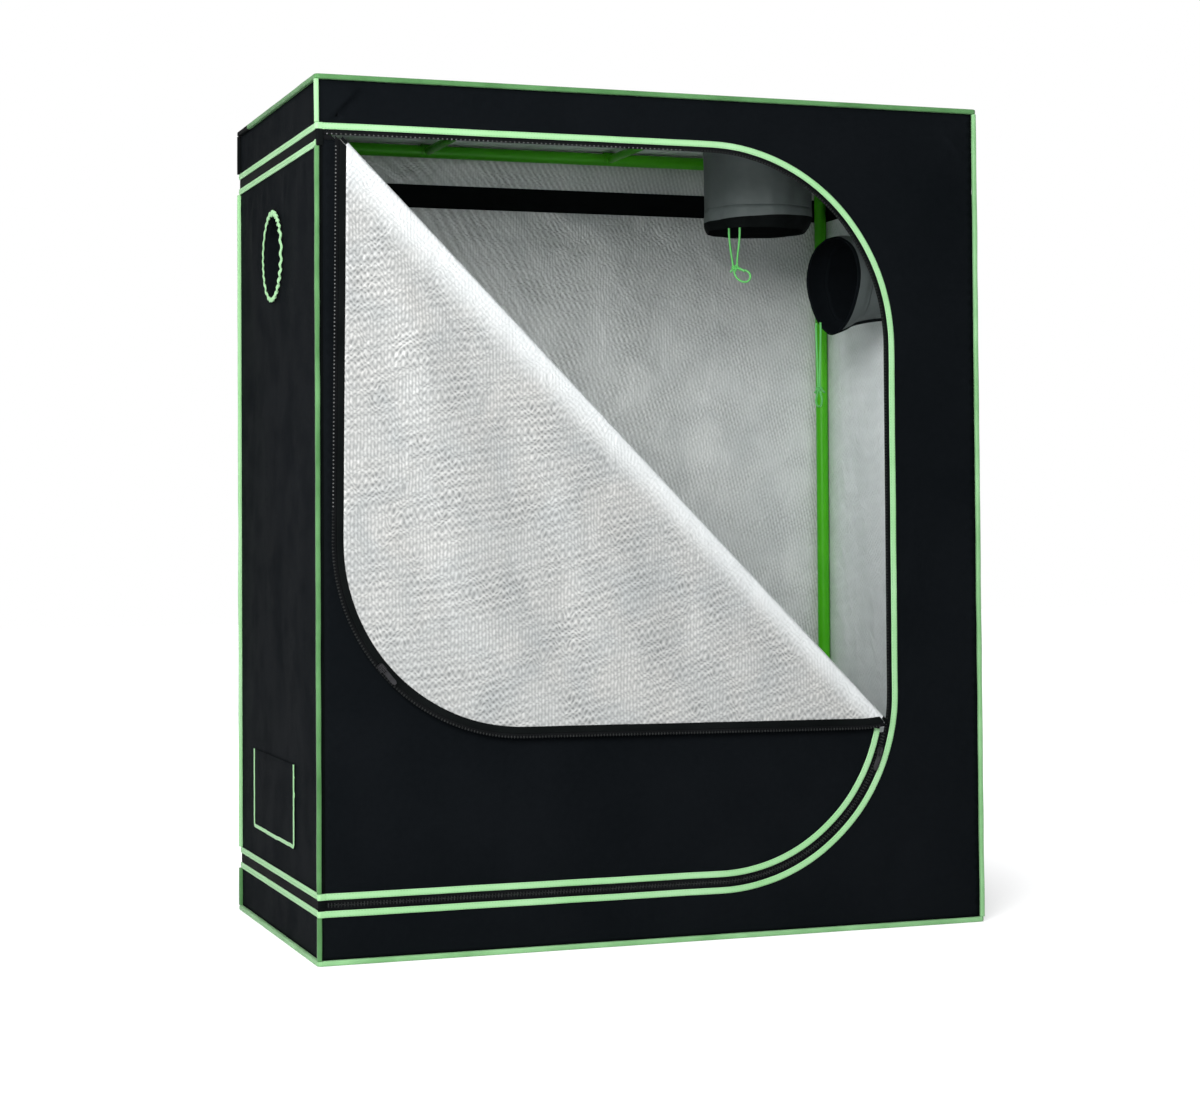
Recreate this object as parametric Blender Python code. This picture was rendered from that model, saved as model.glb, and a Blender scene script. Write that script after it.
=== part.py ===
"""Indoor grow tent: a steel tube frame inside a zipped cloth cover.

Metres. Front faces -Y, +Z is up, and the origin is at the middle of the footprint on the floor.
The front door is sewn along the left front corner. Its upper right part is unzipped and folded
down over a slanting fold line, so that the silver lining faces out.
"""

import math

import bmesh
import bpy
from mathutils import Vector
from mathutils.geometry import delaunay_2d_cdt, tessellate_polygon

# Overall size, over the edge piping
TENT_WIDTH = 1.25
TENT_DEPTH = 0.68
TENT_HEIGHT = 1.50

# Cloth, piping and the small gap that keeps neighbouring pieces apart
GAP = 0.0003
CLOTH = 0.0025
EDGE_PIPING = 0.009
EDGE_CHAMFER_SHARE = 0.28
LINE_WIDTH = 0.011
LINE_THICKNESS = 0.003
BAND_WEB_THICKNESS = 0.0012
INNER_BAND_HEIGHT = 0.047
INNER_BAND_THICKNESS = 0.0012

# Door opening: the outer green line, measured from the edges of the tent
HEADER_DROP = 0.088
FOOTER_RISE = 0.086
DOOR_WIDTH_SHARE = 0.858
UPPER_RADIUS_SHARE = 0.335
LOWER_RADIUS_SHARE = 0.322
ARC_STEPS = 20
TAPE_WIDTH = 0.0086
TAPE_THICKNESS = 0.002
HINGE_SIDE_GAP = 0.006
HINGE_IN_FRONT = 0.0005

# Fold of the door flap
FOLD_TOP_SHARE = 0.026
FOLD_END_DROP_SHARE = 0.165
FOLD_RADIUS = 0.007
FOLD_ROLL_END_MARGIN = 0.012
ROLL_NECK_NEAR_SHARE = 0.25
ROLL_NECK_FAR_SHARE = 0.85
ROLL_STEPS = 14
FLAP_TAPE_MARGIN = 0.09
LINE_END_MARGIN = 0.012

# Frame tubes
TUBE_RADIUS = 0.0125
TUBE_WALL = 0.0012
TUBE_SIDES = 16
CORNER_REACH = 0.014
SPIGOT_LENGTH = 0.045
CLIP_ROOM = 0.003
CLIP_THICKNESS = 0.002
CLIP_WIDTH = 0.024
CLIP_FROM_DEG = -40
CLIP_TO_DEG = 120
CLIP_STEPS = 10
BAR_RADIUS = 0.008
BAR_LEFT_SHARE = -0.200
BAR_RIGHT_SHARE = 0.106

# Ports and sleeves
ROUND_STEPS = 48
SLEEVE_FOLDS = 8
SLEEVE_FOLD_DEPTH = 0.003
COLLAR_FOLD_DEPTH = 0.005
MOUTH_PINCH_SHARE = 0.2
MOUTH_SAG_RATIO = 1.1
ROOF_PORT_X_SHARE = 0.2614
ROOF_SLEEVE_RADIUS = 0.1065
ROOF_SLEEVE_LENGTH = 0.155
COLLAR_LENGTH = 0.038
COLLAR_EXTRA = 0.0015
RIGHT_PORT_Z_SHARE = 0.812
RIGHT_SLEEVE_RADIUS = 0.085
RIGHT_SLEEVE_LENGTH = 0.105
RIGHT_SLEEVE_DROOP = 0.012
RIGHT_SLEEVE_TURN_DEG = 13
LEFT_PORT_Z_SHARE = 0.817
LEFT_PORT_Y_SHARE = 0.03
LEFT_PORT_RADIUS = 0.079
LEFT_RING_TUBE = 0.006
LEFT_SOCK_LENGTH = 0.11
LEFT_SOCK_END_SHARE = 0.3
LEFT_SOCK_FOLD_DEPTH = 0.004
RUFFLES = 24
RUFFLE_STEPS = 4
RUFFLE_DEPTH = 0.0014
RING_SIDES = 8

# Vent low on the left wall
VENT_WIDTH_SHARE = 0.515
VENT_Y_SHARE = 0.047
VENT_BOTTOM_SHARE = 0.115
VENT_HEIGHT_SHARE = 0.098
VENT_RIM_WIDTH = 0.009
VENT_RIM_THICKNESS = 0.0032
VENT_FLAP_THICKNESS = 0.002
VENT_HOLE_INSET = 0.022
VENT_MESH_LAP = 0.010
VENT_MESH_THICKNESS = 0.0008

# Floor tray
TRAY_THICKNESS = 0.0015
TRAY_LIP = 0.05

# Zip sliders and pulls
SLIDER_WIDTH = 0.011
SLIDER_LENGTH = 0.016
SLIDER_THICKNESS = 0.005
BRIDGE_WIDTH = 0.0024
BRIDGE_LENGTH = 0.0124
BRIDGE_ROOM = 0.0028
BRIDGE_BAR = 0.0014
PULL_WIDTH = 0.0085
PULL_LENGTH = 0.036
PULL_THICKNESS = 0.0014
PULL_EYE_WIDTH = 0.005
PULL_EYE_LENGTH = 0.008
PULL_BAR = 0.0018
SLIDER_EDGE = 0.0015
LOWER_SLIDER_DEG = -19
FLAP_SLIDER_SHARE = 0.45

# Drawstrings
CORD_RADIUS = 0.002
CORD_STEPS = 2
ROOF_CORD_AZIMUTH_DEG = 222
ROOF_CORD_ROUTE = [
    (-0.0115, 0.0000), (-0.0110, 0.0160), (-0.0092, 0.0340), (-0.0066, 0.0520),
    (-0.0038, 0.0680), (-0.0016, 0.0800), (0.0010, 0.0900), (0.0075, 0.0985),
    (0.0170, 0.1035), (0.0265, 0.1035), (0.0325, 0.0975), (0.0315, 0.0885),
    (0.0245, 0.0830), (0.0165, 0.0815), (0.0095, 0.0790), (0.0055, 0.0715),
    (0.0066, 0.0520), (0.0092, 0.0340), (0.0110, 0.0160), (0.0115, 0.0000),
]
RIGHT_CORD_ASIDE = 0.042
RIGHT_CORD_RISE = 0.006
RIGHT_CORD_ROUTE = [
    (-0.0070, 0.0000), (-0.0075, 0.0140), (-0.0063, 0.0400), (-0.0048, 0.0720),
    (-0.0036, 0.1020), (-0.0029, 0.1300), (-0.0056, 0.1395), (-0.0086, 0.1475),
    (-0.0096, 0.1550), (-0.0064, 0.1620), (0.0000, 0.1648), (0.0064, 0.1620),
    (0.0096, 0.1550), (0.0086, 0.1475), (0.0056, 0.1395), (0.0029, 0.1300),
    (0.0036, 0.1020), (0.0048, 0.0720), (0.0063, 0.0400), (0.0075, 0.0140),
    (0.0070, 0.0000),
]

# Waves of the hanging flap
FLAP_WAVE_DEPTH = 0.008
FLAP_WAVE_LENGTH = 0.24
FLAP_WAVE_SLANT = 0.25
FLAP_FLAT_EDGE = 0.045
FLAP_WAVE_START = 0.11
FLAP_STEP = 0.06
MERGE_REACH = 0.000001

# Shares of a sleeve's and a collar's length that get a ring of points
SLEEVE_RING_SHARES = [0, 0.25, 0.5, 0.75, 1]
COLLAR_RING_SHARES = [0, 0.5, 1]

# Derived places
HALF_WIDTH = TENT_WIDTH / 2
HALF_DEPTH = TENT_DEPTH / 2
WALL_X = HALF_WIDTH - EDGE_PIPING
WALL_Y = HALF_DEPTH - EDGE_PIPING
ROOF_Z = TENT_HEIGHT - EDGE_PIPING
POST_INSET = GAP + INNER_BAND_THICKNESS + GAP + TUBE_RADIUS
POST_X = WALL_X - POST_INSET
POST_Y = WALL_Y - POST_INSET
BOTTOM_RAIL_Z = CLOTH + GAP + TUBE_RADIUS
TOP_RAIL_Z = ROOF_Z - CLIP_ROOM - TUBE_RADIUS
FRONT_FACE_Y = -WALL_Y - CLOTH
DOOR_MID_Y = -WALL_Y - CLOTH / 2
FOLD_AXIS_Y = DOOR_MID_Y - FOLD_RADIUS
DOOR_LEFT_X = -WALL_X + HINGE_SIDE_GAP
DOOR_AXIS = (-WALL_X + HINGE_SIDE_GAP / 2, -HALF_DEPTH - HINGE_IN_FRONT, 0)
DOOR_TOP_Z = TENT_HEIGHT - HEADER_DROP
DOOR_BOTTOM_Z = FOOTER_RISE
DOOR_RIGHT_X = -HALF_WIDTH + DOOR_WIDTH_SHARE * TENT_WIDTH
DOOR_SPAN = min(DOOR_RIGHT_X - DOOR_LEFT_X, DOOR_TOP_Z - DOOR_BOTTOM_Z)
UPPER_RADIUS = UPPER_RADIUS_SHARE * DOOR_SPAN
LOWER_RADIUS = LOWER_RADIUS_SHARE * DOOR_SPAN
LINE_IN = LINE_WIDTH / 2
FRAME_TAPE_OUT = LINE_IN + GAP
FRAME_TAPE_IN = FRAME_TAPE_OUT + TAPE_WIDTH
DOOR_TAPE_OUT = FRAME_TAPE_IN + GAP
DOOR_TAPE_IN = DOOR_TAPE_OUT + TAPE_WIDTH
DOOR_EDGE = DOOR_TAPE_IN + GAP
DOOR_LINE_IN = DOOR_EDGE + LINE_WIDTH
TAPE_MIDDLE = (FRAME_TAPE_IN + DOOR_TAPE_OUT) / 2
BAND_HEIGHT = DOOR_LINE_IN + LINE_IN
FOLD_START = Vector((DOOR_LEFT_X + FOLD_TOP_SHARE * DOOR_SPAN, DOOR_TOP_Z - DOOR_EDGE))
FOLD_END = Vector((DOOR_RIGHT_X - DOOR_EDGE, DOOR_BOTTOM_Z + LOWER_RADIUS * (1 - FOLD_END_DROP_SHARE)))
FOLD_ALONG = (FOLD_END - FOLD_START).normalized()
FOLD_NORMAL = Vector((-FOLD_ALONG.y, FOLD_ALONG.x))

COLOURS = {
    "cloth_black": (0.012, 0.014, 0.02, 1),
    "lining_silver": (0.75, 0.76, 0.78, 1),
    "binding_green": (0.28, 0.72, 0.28, 1),
    "tube_green": (0.05, 0.35, 0.02, 1),
    "zip_black": (0.008, 0.008, 0.01, 1),
    "metal_dark": (0.1, 0.1, 0.11, 1),
    "net_black": (0.02, 0.02, 0.02, 1),
    "plastic_black": (0.02, 0.02, 0.02, 1),
}


# Mesh helpers


def clear_scene():
    for obj in list(bpy.data.objects):
        bpy.data.objects.remove(obj, do_unlink=True)


def material(name):
    found = bpy.data.materials.get(name)
    if found:
        return found
    made = bpy.data.materials.new(name)
    made.use_nodes = True
    made.node_tree.nodes["Principled BSDF"].inputs["Base Color"].default_value = COLOURS[name]
    return made


def add_object(name, points, faces, colour, origin=(0, 0, 0), smooth=False):
    """A mesh object with its origin at the given point and its normals facing out."""
    start = Vector(origin)
    mesh = bpy.data.meshes.new(name)
    mesh.from_pydata([Vector(point) - start for point in points], [], faces)
    shape = bmesh.new()
    shape.from_mesh(mesh)
    bmesh.ops.recalc_face_normals(shape, faces=shape.faces)
    shape.to_mesh(mesh)
    shape.free()
    obj = bpy.data.objects.new(name, mesh)
    obj.location = start
    bpy.context.scene.collection.objects.link(obj)
    mesh.materials.append(material(colour))
    if smooth:
        shade(obj)
    return obj


def shade(obj):
    """Smooth shading that keeps the edges sharper than half a right angle."""
    obj.data.shade_smooth()
    shape = bmesh.new()
    shape.from_mesh(obj.data)
    for edge in shape.edges:
        edge.smooth = edge.calc_face_angle(0) < math.radians(40)
    shape.to_mesh(obj.data)
    shape.free()


def loft(name, rings, colour, closed=False, origin=(0, 0, 0), smooth=False):
    """Joins rings of points. An open loft gets a cap at each end, a closed one joins up."""
    count = len(rings[0])
    points = [point for ring in rings for point in ring]
    faces = []
    last = len(rings) if closed else len(rings) - 1
    for i in range(last):
        a = i * count
        b = (i + 1) % len(rings) * count
        for k in range(count):
            n = (k + 1) % count
            faces.append((a + k, a + n, b + n, b + k))
    if not closed:
        faces.append(tuple(range(count)))
        faces.append(tuple(range(len(points) - count, len(points))))
    return add_object(name, points, faces, colour, origin, smooth)


def slab(name, loops, low, high, place, colour, origin=(0, 0, 0), smooth=False):
    """A flat plate. The first loop is its outline and the others are holes, each as (u, v)."""
    flat = [[Vector((u, v, 0)) for u, v in loop] for loop in loops]
    count = sum(len(loop) for loop in loops)
    points = [place(u, v, level) for level in (low, high) for loop in loops for u, v in loop]
    faces = []
    for triangle in tessellate_polygon(flat):
        faces.append(tuple(triangle))
        faces.append(tuple(count + i for i in reversed(triangle)))
    start = 0
    for loop in loops:
        size = len(loop)
        for k in range(size):
            a = start + k
            b = start + (k + 1) % size
            faces.append((a, b, count + b, count + a))
        start += size
    return add_object(name, points, faces, colour, origin, smooth)


def combine(target, tool, operation):
    """Joins the tool to the target, or cuts it out, and keeps the result as a plain mesh."""
    modifier = target.modifiers.new("combine", "BOOLEAN")
    modifier.operation = operation
    modifier.solver = "EXACT"
    modifier.object = tool
    bpy.context.view_layer.update()
    graph = bpy.context.evaluated_depsgraph_get()
    mesh = bpy.data.meshes.new_from_object(target.evaluated_get(graph))
    target.modifiers.clear()
    target.data = mesh
    mesh.name = target.name
    bpy.data.objects.remove(tool, do_unlink=True)
    return target


def circle(centre, u, v, radius, count):
    """Points round a centre, in the plane of the two directions."""
    turns = [2 * math.pi * k / count for k in range(count)]
    return [Vector(centre) + radius * (math.cos(t) * Vector(u) + math.sin(t) * Vector(v)) for t in turns]


def rectangle(u0, v0, u1, v1):
    return [(u0, v0), (u1, v0), (u1, v1), (u0, v1)]


def round_hole(u, v, radius):
    return [tuple(point.xy) for point in circle((u, v, 0), (1, 0, 0), (0, 1, 0), radius, ROUND_STEPS)]


def on_front(u, v, w):
    """A point on a plane parallel to the front: across, up, and the place in depth."""
    return Vector((u, w, v))


def on_side(u, v, w):
    return Vector((w, u, v))


def on_floor(u, v, w):
    return Vector((u, v, w))


# The door's outline


def outline_stations():
    """Points on the outer green line, from the top left round, with the direction out of the door."""
    stations = [(Vector((DOOR_LEFT_X, DOOR_TOP_Z)), Vector((0, 1)))]
    corners = (
        (UPPER_RADIUS, DOOR_TOP_Z - UPPER_RADIUS, 90, 0),
        (LOWER_RADIUS, DOOR_BOTTOM_Z + LOWER_RADIUS, 0, -90),
    )
    for radius, height, start, end in corners:
        centre = Vector((DOOR_RIGHT_X - radius, height))
        for k in range(ARC_STEPS + 1):
            turn = math.radians(start + (end - start) * k / ARC_STEPS)
            out = Vector((math.cos(turn), math.sin(turn)))
            stations.append((centre + radius * out, out))
    stations.append((Vector((DOOR_LEFT_X, DOOR_BOTTOM_Z)), Vector((0, -1))))
    return stations


def from_fold(point):
    """Distance of a point from the fold line, above it and to the right counted as positive."""
    return (point - FOLD_START).dot(FOLD_NORMAL)


def trimmed(stations, offsets, side, margin):
    """The runs of stations that lie on one side of the fold line by a margin, at every given offset."""

    def room(station):
        point, out = station
        return min(side * from_fold(point - out * offset) for offset in offsets) - margin

    runs = []
    run = []
    for i, station in enumerate(stations):
        here = room(station)
        if i and (here > 0) != (room(stations[i - 1]) > 0):
            before = room(stations[i - 1])
            share = before / (before - here)
            point = stations[i - 1][0].lerp(station[0], share)
            out = stations[i - 1][1].lerp(station[1], share).normalized()
            run.append((point, out))
            if here <= 0:
                runs.append(run)
                run = []
        if here > 0:
            run.append(station)
    if run:
        runs.append(run)
    return runs


def folded(point, y):
    """Where a point of the closed flap lies once the flap is folded down."""
    flat = point - 2 * from_fold(point) * FOLD_NORMAL
    return Vector((flat.x, 2 * FOLD_AXIS_Y - y, flat.y))


def upright(point, y):
    return Vector((point.x, y, point.y))


def strip(name, stations, out_offset, in_offset, low, high, colour, place=upright, origin=(0, 0, 0)):
    """A flat ribbon along the door's outline between two offsets."""
    rings = []
    for point, out in stations:
        a = point - out * out_offset
        b = point - out * in_offset
        rings.append([place(a, low), place(a, high), place(b, high), place(b, low)])
    return loft(name, rings, colour, origin=origin)


# Frame


def add_tube(name, start, end, radius, colour="tube_green"):
    """A hollow tube between two points that differ along one axis."""
    along = (Vector(end) - Vector(start)).normalized()
    u = Vector((along.y, along.z, along.x))
    v = along.cross(u)
    bore = radius - TUBE_WALL
    rings = [
        circle(start, u, v, radius, TUBE_SIDES),
        circle(end, u, v, radius, TUBE_SIDES),
        circle(end, u, v, bore, TUBE_SIDES),
        circle(start, u, v, bore, TUBE_SIDES),
    ]
    return loft(name, rings, colour, closed=True, smooth=True)


def add_posts():
    low = BOTTOM_RAIL_Z + CORNER_REACH
    high = TOP_RAIL_Z - CORNER_REACH
    for name, x, y in corner_places():
        add_tube("post_" + name, (x, y, low), (x, y, high), TUBE_RADIUS)


def corner_places():
    return (
        ("front_left", -POST_X, -POST_Y),
        ("front_right", POST_X, -POST_Y),
        ("rear_left", -POST_X, POST_Y),
        ("rear_right", POST_X, POST_Y),
    )


def add_rails():
    x = POST_X - CORNER_REACH
    y = POST_Y - CORNER_REACH
    for level, z in (("bottom", BOTTOM_RAIL_Z), ("top", TOP_RAIL_Z)):
        add_tube(level + "_rail_front", (-x, -POST_Y, z), (x, -POST_Y, z), TUBE_RADIUS)
        add_tube(level + "_rail_rear", (-x, POST_Y, z), (x, POST_Y, z), TUBE_RADIUS)
        add_tube(level + "_rail_left", (-POST_X, -y, z), (-POST_X, y, z), TUBE_RADIUS)
        add_tube(level + "_rail_right", (POST_X, -y, z), (POST_X, y, z), TUBE_RADIUS)


def connector_mesh():
    """A corner block with three spigots, along +X, +Y and +Z, built at the origin."""
    high = CORNER_REACH - GAP
    low = -TUBE_RADIUS
    loops = [rectangle(low, low, high, high)]
    block = slab("connector", loops, low, high, on_floor, "plastic_black")
    radius = TUBE_RADIUS - TUBE_WALL - GAP
    axes = [Vector((1, 0, 0)), Vector((0, 1, 0)), Vector((0, 0, 1))]
    for i, along in enumerate(axes):
        u = axes[(i + 1) % 3]
        v = axes[(i + 2) % 3]
        ends = (Vector((0, 0, 0)), along * (high + SPIGOT_LENGTH))
        rings = [circle(end, u, v, radius, TUBE_SIDES) for end in ends]
        combine(block, loft("spigot", rings, "plastic_black"), "UNION")
    points = [vertex.co.copy() for vertex in block.data.vertices]
    faces = [tuple(face.vertices) for face in block.data.polygons]
    bpy.data.objects.remove(block, do_unlink=True)
    return points, faces


def add_connectors():
    points, faces = connector_mesh()
    for level, z, up in (("bottom", BOTTOM_RAIL_Z, 1), ("top", TOP_RAIL_Z, -1)):
        for name, x, y in corner_places():
            across = -math.copysign(1, x)
            along = -math.copysign(1, y)
            placed = [Vector((x + across * p.x, y + along * p.y, z + up * p.z)) for p in points]
            add_object("corner_" + level + "_" + name, placed, faces, "metal_dark")


def clip_profile(side):
    """Hook over a rail, in depth and height: inner arc back along the outer arc."""
    inner = TUBE_RADIUS + GAP
    outer = inner + CLIP_THICKNESS
    turns = [CLIP_FROM_DEG + (CLIP_TO_DEG - CLIP_FROM_DEG) * k / CLIP_STEPS for k in range(CLIP_STEPS + 1)]
    path = [(inner, turn) for turn in turns] + [(outer, turn) for turn in reversed(turns)]
    points = []
    for radius, turn in path:
        y = side * (POST_Y - radius * math.cos(math.radians(turn)))
        points.append((y, TOP_RAIL_Z + radius * math.sin(math.radians(turn))))
    return points


def add_hanging_bar(name, x):
    reach = POST_Y - TUBE_RADIUS - GAP - CLIP_THICKNESS / 2
    ends = ((x, -reach, TOP_RAIL_Z), (x, reach, TOP_RAIL_Z))
    rings = [circle(end, (1, 0, 0), (0, 0, 1), BAR_RADIUS, TUBE_SIDES) for end in ends]
    bar = loft(name, rings, "tube_green", smooth=True)
    for side in (-1, 1):
        low = x - CLIP_WIDTH / 2
        high = x + CLIP_WIDTH / 2
        clip = slab("clip", [clip_profile(side)], low, high, on_side, "tube_green", smooth=True)
        combine(bar, clip, "UNION")
    move_origin(bar, (x, 0, TOP_RAIL_Z))


def move_origin(obj, origin):
    """Puts the object's origin at a point without moving its shape."""
    shift = Vector(origin) - obj.location
    for vertex in obj.data.vertices:
        vertex.co -= shift
    obj.location = Vector(origin)


# Cover


def add_roof():
    x = WALL_X - GAP
    y = WALL_Y - GAP
    port = round_hole(ROOF_PORT_X_SHARE * TENT_WIDTH, 0, ROOF_SLEEVE_RADIUS + GAP)
    slab("roof_panel", [rectangle(-x, -y, x, y), port], ROOF_Z, ROOF_Z + CLOTH, on_floor, "cloth_black")


def add_floor():
    x = WALL_X - GAP
    y = WALL_Y - GAP
    slab("floor_panel", [rectangle(-x, -y, x, y)], 0, CLOTH, on_floor, "cloth_black")


def add_front():
    """The front round the door: header, right side and footer in one piece."""
    left = -WALL_X + GAP
    right = WALL_X - GAP
    low = EDGE_PIPING + GAP
    high = ROOF_Z - GAP
    edge = [point - out * LINE_IN for point, out in outline_stations()]
    loop = [(left, edge[0].y)] + [tuple(point) for point in edge[1:-1]] + [(left, edge[-1].y)]
    loop += [(left, low), (right, low), (right, high), (left, high)]
    slab("front_panel", [loop], -WALL_Y - CLOTH, -WALL_Y, on_front, "cloth_black")


def vent_box(inset=0):
    middle = VENT_Y_SHARE * TENT_DEPTH
    half = VENT_WIDTH_SHARE * TENT_DEPTH / 2
    low = VENT_BOTTOM_SHARE * TENT_HEIGHT
    high = low + VENT_HEIGHT_SHARE * TENT_HEIGHT
    return middle - half + inset, low + inset, middle + half - inset, high - inset


def add_walls():
    y = WALL_Y - GAP
    low = EDGE_PIPING + GAP
    high = ROOF_Z - GAP
    sheet = rectangle(-y, low, y, high)
    port = round_hole(LEFT_PORT_Y_SHARE * TENT_DEPTH, LEFT_PORT_Z_SHARE * TENT_HEIGHT, LEFT_PORT_RADIUS)
    vent = rectangle(*vent_box(VENT_HOLE_INSET))
    slab("left_wall", [sheet, port, vent], -WALL_X - CLOTH, -WALL_X, on_side, "cloth_black")
    port = round_hole(0, RIGHT_PORT_Z_SHARE * TENT_HEIGHT, RIGHT_SLEEVE_RADIUS + GAP)
    slab("right_wall", [sheet, port], WALL_X, WALL_X + CLOTH, on_side, "cloth_black")
    x = WALL_X - GAP
    slab("back_wall", [rectangle(-x, low, x, high)], WALL_Y, WALL_Y + CLOTH, on_front, "cloth_black")


def edge_section():
    """Round-cornered section of the edge piping, measured inwards from both outer faces."""
    p = EDGE_PIPING
    c = EDGE_CHAMFER_SHARE * EDGE_PIPING
    return [(c, 0), (p - c, 0), (p, c), (p, p - c), (p - c, p), (c, p), (0, p - c), (0, c)]


def add_edge_rings():
    signs = ((-1, -1), (1, -1), (1, 1), (-1, 1))
    for name, level, up in (("top_edge_piping", TENT_HEIGHT, -1), ("bottom_edge_piping", 0, 1)):
        rings = []
        for sx, sy in signs:
            ring = [(sx * (HALF_WIDTH - a), sy * (HALF_DEPTH - a), level + up * b) for a, b in edge_section()]
            rings.append(ring)
        loft(name, rings, "binding_green", closed=True)


def add_corner_piping():
    low = EDGE_PIPING + GAP
    high = TENT_HEIGHT - EDGE_PIPING - GAP
    for name, x, y in corner_places():
        sx = math.copysign(1, x)
        sy = math.copysign(1, y)
        rings = []
        for z in (low, high):
            rings.append([(sx * (HALF_WIDTH - a), sy * (HALF_DEPTH - b), z) for a, b in edge_section()])
        rod = loft("corner_piping_" + name, rings, "binding_green")
        if sy > 0:
            for middle in band_levels():
                combine(rod, band_notch(sx, middle), "DIFFERENCE")


def band_levels():
    """Heights of the middle of the two bands that run round the sides and the back."""
    upper = DOOR_TOP_Z + LINE_IN - BAND_HEIGHT / 2
    lower = DOOR_BOTTOM_Z - LINE_IN + BAND_HEIGHT / 2
    return upper, lower


def band_notch(sx, middle):
    """Room in a rear corner's piping for a band to pass outside it."""
    out_x = HALF_WIDTH + EDGE_PIPING
    out_y = HALF_DEPTH + EDGE_PIPING
    in_x = WALL_X + CLOTH
    in_y = WALL_Y + CLOTH
    back_x = WALL_X - EDGE_PIPING
    back_y = WALL_Y - EDGE_PIPING
    corner = [(back_x, out_y), (back_x, in_y), (in_x, in_y), (in_x, back_y), (out_x, back_y), (out_x, out_y)]
    loop = [(sx * x, y) for x, y in corner]
    half = BAND_HEIGHT / 2 + GAP
    return slab("notch", [loop], middle - half, middle + half, on_floor, "binding_green")


def band_section():
    """Out from the wall, and up: a thin web with a thicker green line along each edge."""
    half = BAND_HEIGHT / 2
    rib = half - LINE_WIDTH
    near = GAP
    web = GAP + BAND_WEB_THICKNESS
    far = GAP + LINE_THICKNESS
    outer = [(near, half), (near, -half), (far, -half), (far, -rib)]
    return outer + [(web, -rib), (web, rib), (far, rib), (far, half)]


def add_bands():
    """The two bands with green edges round the left side, the back and the right side."""
    x = WALL_X + CLOTH
    y = WALL_Y + CLOTH
    front = -HALF_DEPTH + EDGE_PIPING + GAP
    for name, middle in zip(("upper_band", "lower_band"), band_levels()):
        section = band_section()
        rings = [[(-x - a, front, middle + b) for a, b in section]]
        rings.append([(-x - a, y + a, middle + b) for a, b in section])
        rings.append([(x + a, y + a, middle + b) for a, b in section])
        rings.append([(x + a, front, middle + b) for a, b in section])
        loft(name, rings, "binding_green")


def add_inner_band():
    """The black strip that shows against the lining, round the left side, the back and the right side."""
    x = WALL_X - GAP
    y = WALL_Y - GAP
    front = -WALL_Y + GAP
    high = DOOR_TOP_Z
    low = DOOR_TOP_Z - INNER_BAND_HEIGHT
    section = [(0, high), (0, low), (INNER_BAND_THICKNESS, low), (INNER_BAND_THICKNESS, high)]
    rings = [[(-x + a, front, z) for a, z in section]]
    rings.append([(-x + a, y - a, z) for a, z in section])
    rings.append([(x - a, y - a, z) for a, z in section])
    rings.append([(x - a, front, z) for a, z in section])
    loft("inner_band", rings, "zip_black")


# Door, flap and zip


def add_frame_zip():
    """The outer green line and the fixed half of the zip tape."""
    stations = outline_stations()
    near = FRONT_FACE_Y - GAP
    far = near - LINE_THICKNESS
    strip("zip_piping", stations, -LINE_IN, LINE_IN, near, far, "binding_green")
    low = DOOR_MID_Y + TAPE_THICKNESS / 2
    high = DOOR_MID_Y - TAPE_THICKNESS / 2
    strip("zip_tape_frame", stations, FRAME_TAPE_OUT, FRAME_TAPE_IN, low, high, "zip_black")


def roll_section():
    """Across the fold and in depth: a round bulge with a neck that reaches into the door."""
    radius = FOLD_RADIUS - CLOTH / 2 - GAP
    inner = math.acos(-ROLL_NECK_NEAR_SHARE)
    outer = math.acos(-ROLL_NECK_FAR_SHARE) - 2 * math.pi
    turns = [inner + (outer - inner) * k / ROLL_STEPS for k in range(ROLL_STEPS + 1)]
    section = [(radius * math.cos(turn), FOLD_AXIS_Y + radius * math.sin(turn)) for turn in turns]
    neck = [(-radius * share, DOOR_MID_Y) for share in (ROLL_NECK_FAR_SHARE, ROLL_NECK_NEAR_SHARE)]
    return section + neck


def roll_along_fold():
    """The soft bulge of the fold, between the door and the flap and sewn to the door."""
    length = (FOLD_END - FOLD_START).length
    rings = []
    for end in (FOLD_ROLL_END_MARGIN, length - FOLD_ROLL_END_MARGIN):
        base = FOLD_START + FOLD_ALONG * end
        rings.append([upright(base + FOLD_NORMAL * a, y) for a, y in roll_section()])
    return loft("roll", rings, "cloth_black")


def add_door():
    """The zipped lower left part of the door, with the roll of the fold along its slanting edge."""
    runs = trimmed(outline_stations(), [DOOR_EDGE], -1, 0)
    stations = runs[-1] + (runs[0] if len(runs) > 1 else [])
    loop = [tuple(point - out * DOOR_EDGE) for point, out in stations]
    door = slab("door_panel", [loop], -WALL_Y - CLOTH, -WALL_Y, on_front, "cloth_black")
    combine(door, roll_along_fold(), "UNION")
    move_origin(door, DOOR_AXIS)
    lower = trimmed(outline_stations(), [DOOR_EDGE, DOOR_LINE_IN], -1, LINE_END_MARGIN)[-1]
    near_y = FRONT_FACE_Y - GAP
    far_y = near_y - LINE_THICKNESS
    strip("door_piping", lower, DOOR_EDGE, DOOR_LINE_IN, near_y, far_y, "binding_green", origin=DOOR_AXIS)
    low = DOOR_MID_Y + TAPE_THICKNESS / 2
    high = DOOR_MID_Y - TAPE_THICKNESS / 2
    lower = trimmed(outline_stations(), [DOOR_TAPE_OUT, DOOR_TAPE_IN], -1, LINE_END_MARGIN)[-1]
    strip("zip_tape_door", lower, DOOR_TAPE_OUT, DOOR_TAPE_IN, low, high, "zip_black", origin=DOOR_AXIS)


def fold_origin():
    return upright((FOLD_START + FOLD_END) / 2, FOLD_AXIS_Y)


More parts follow.
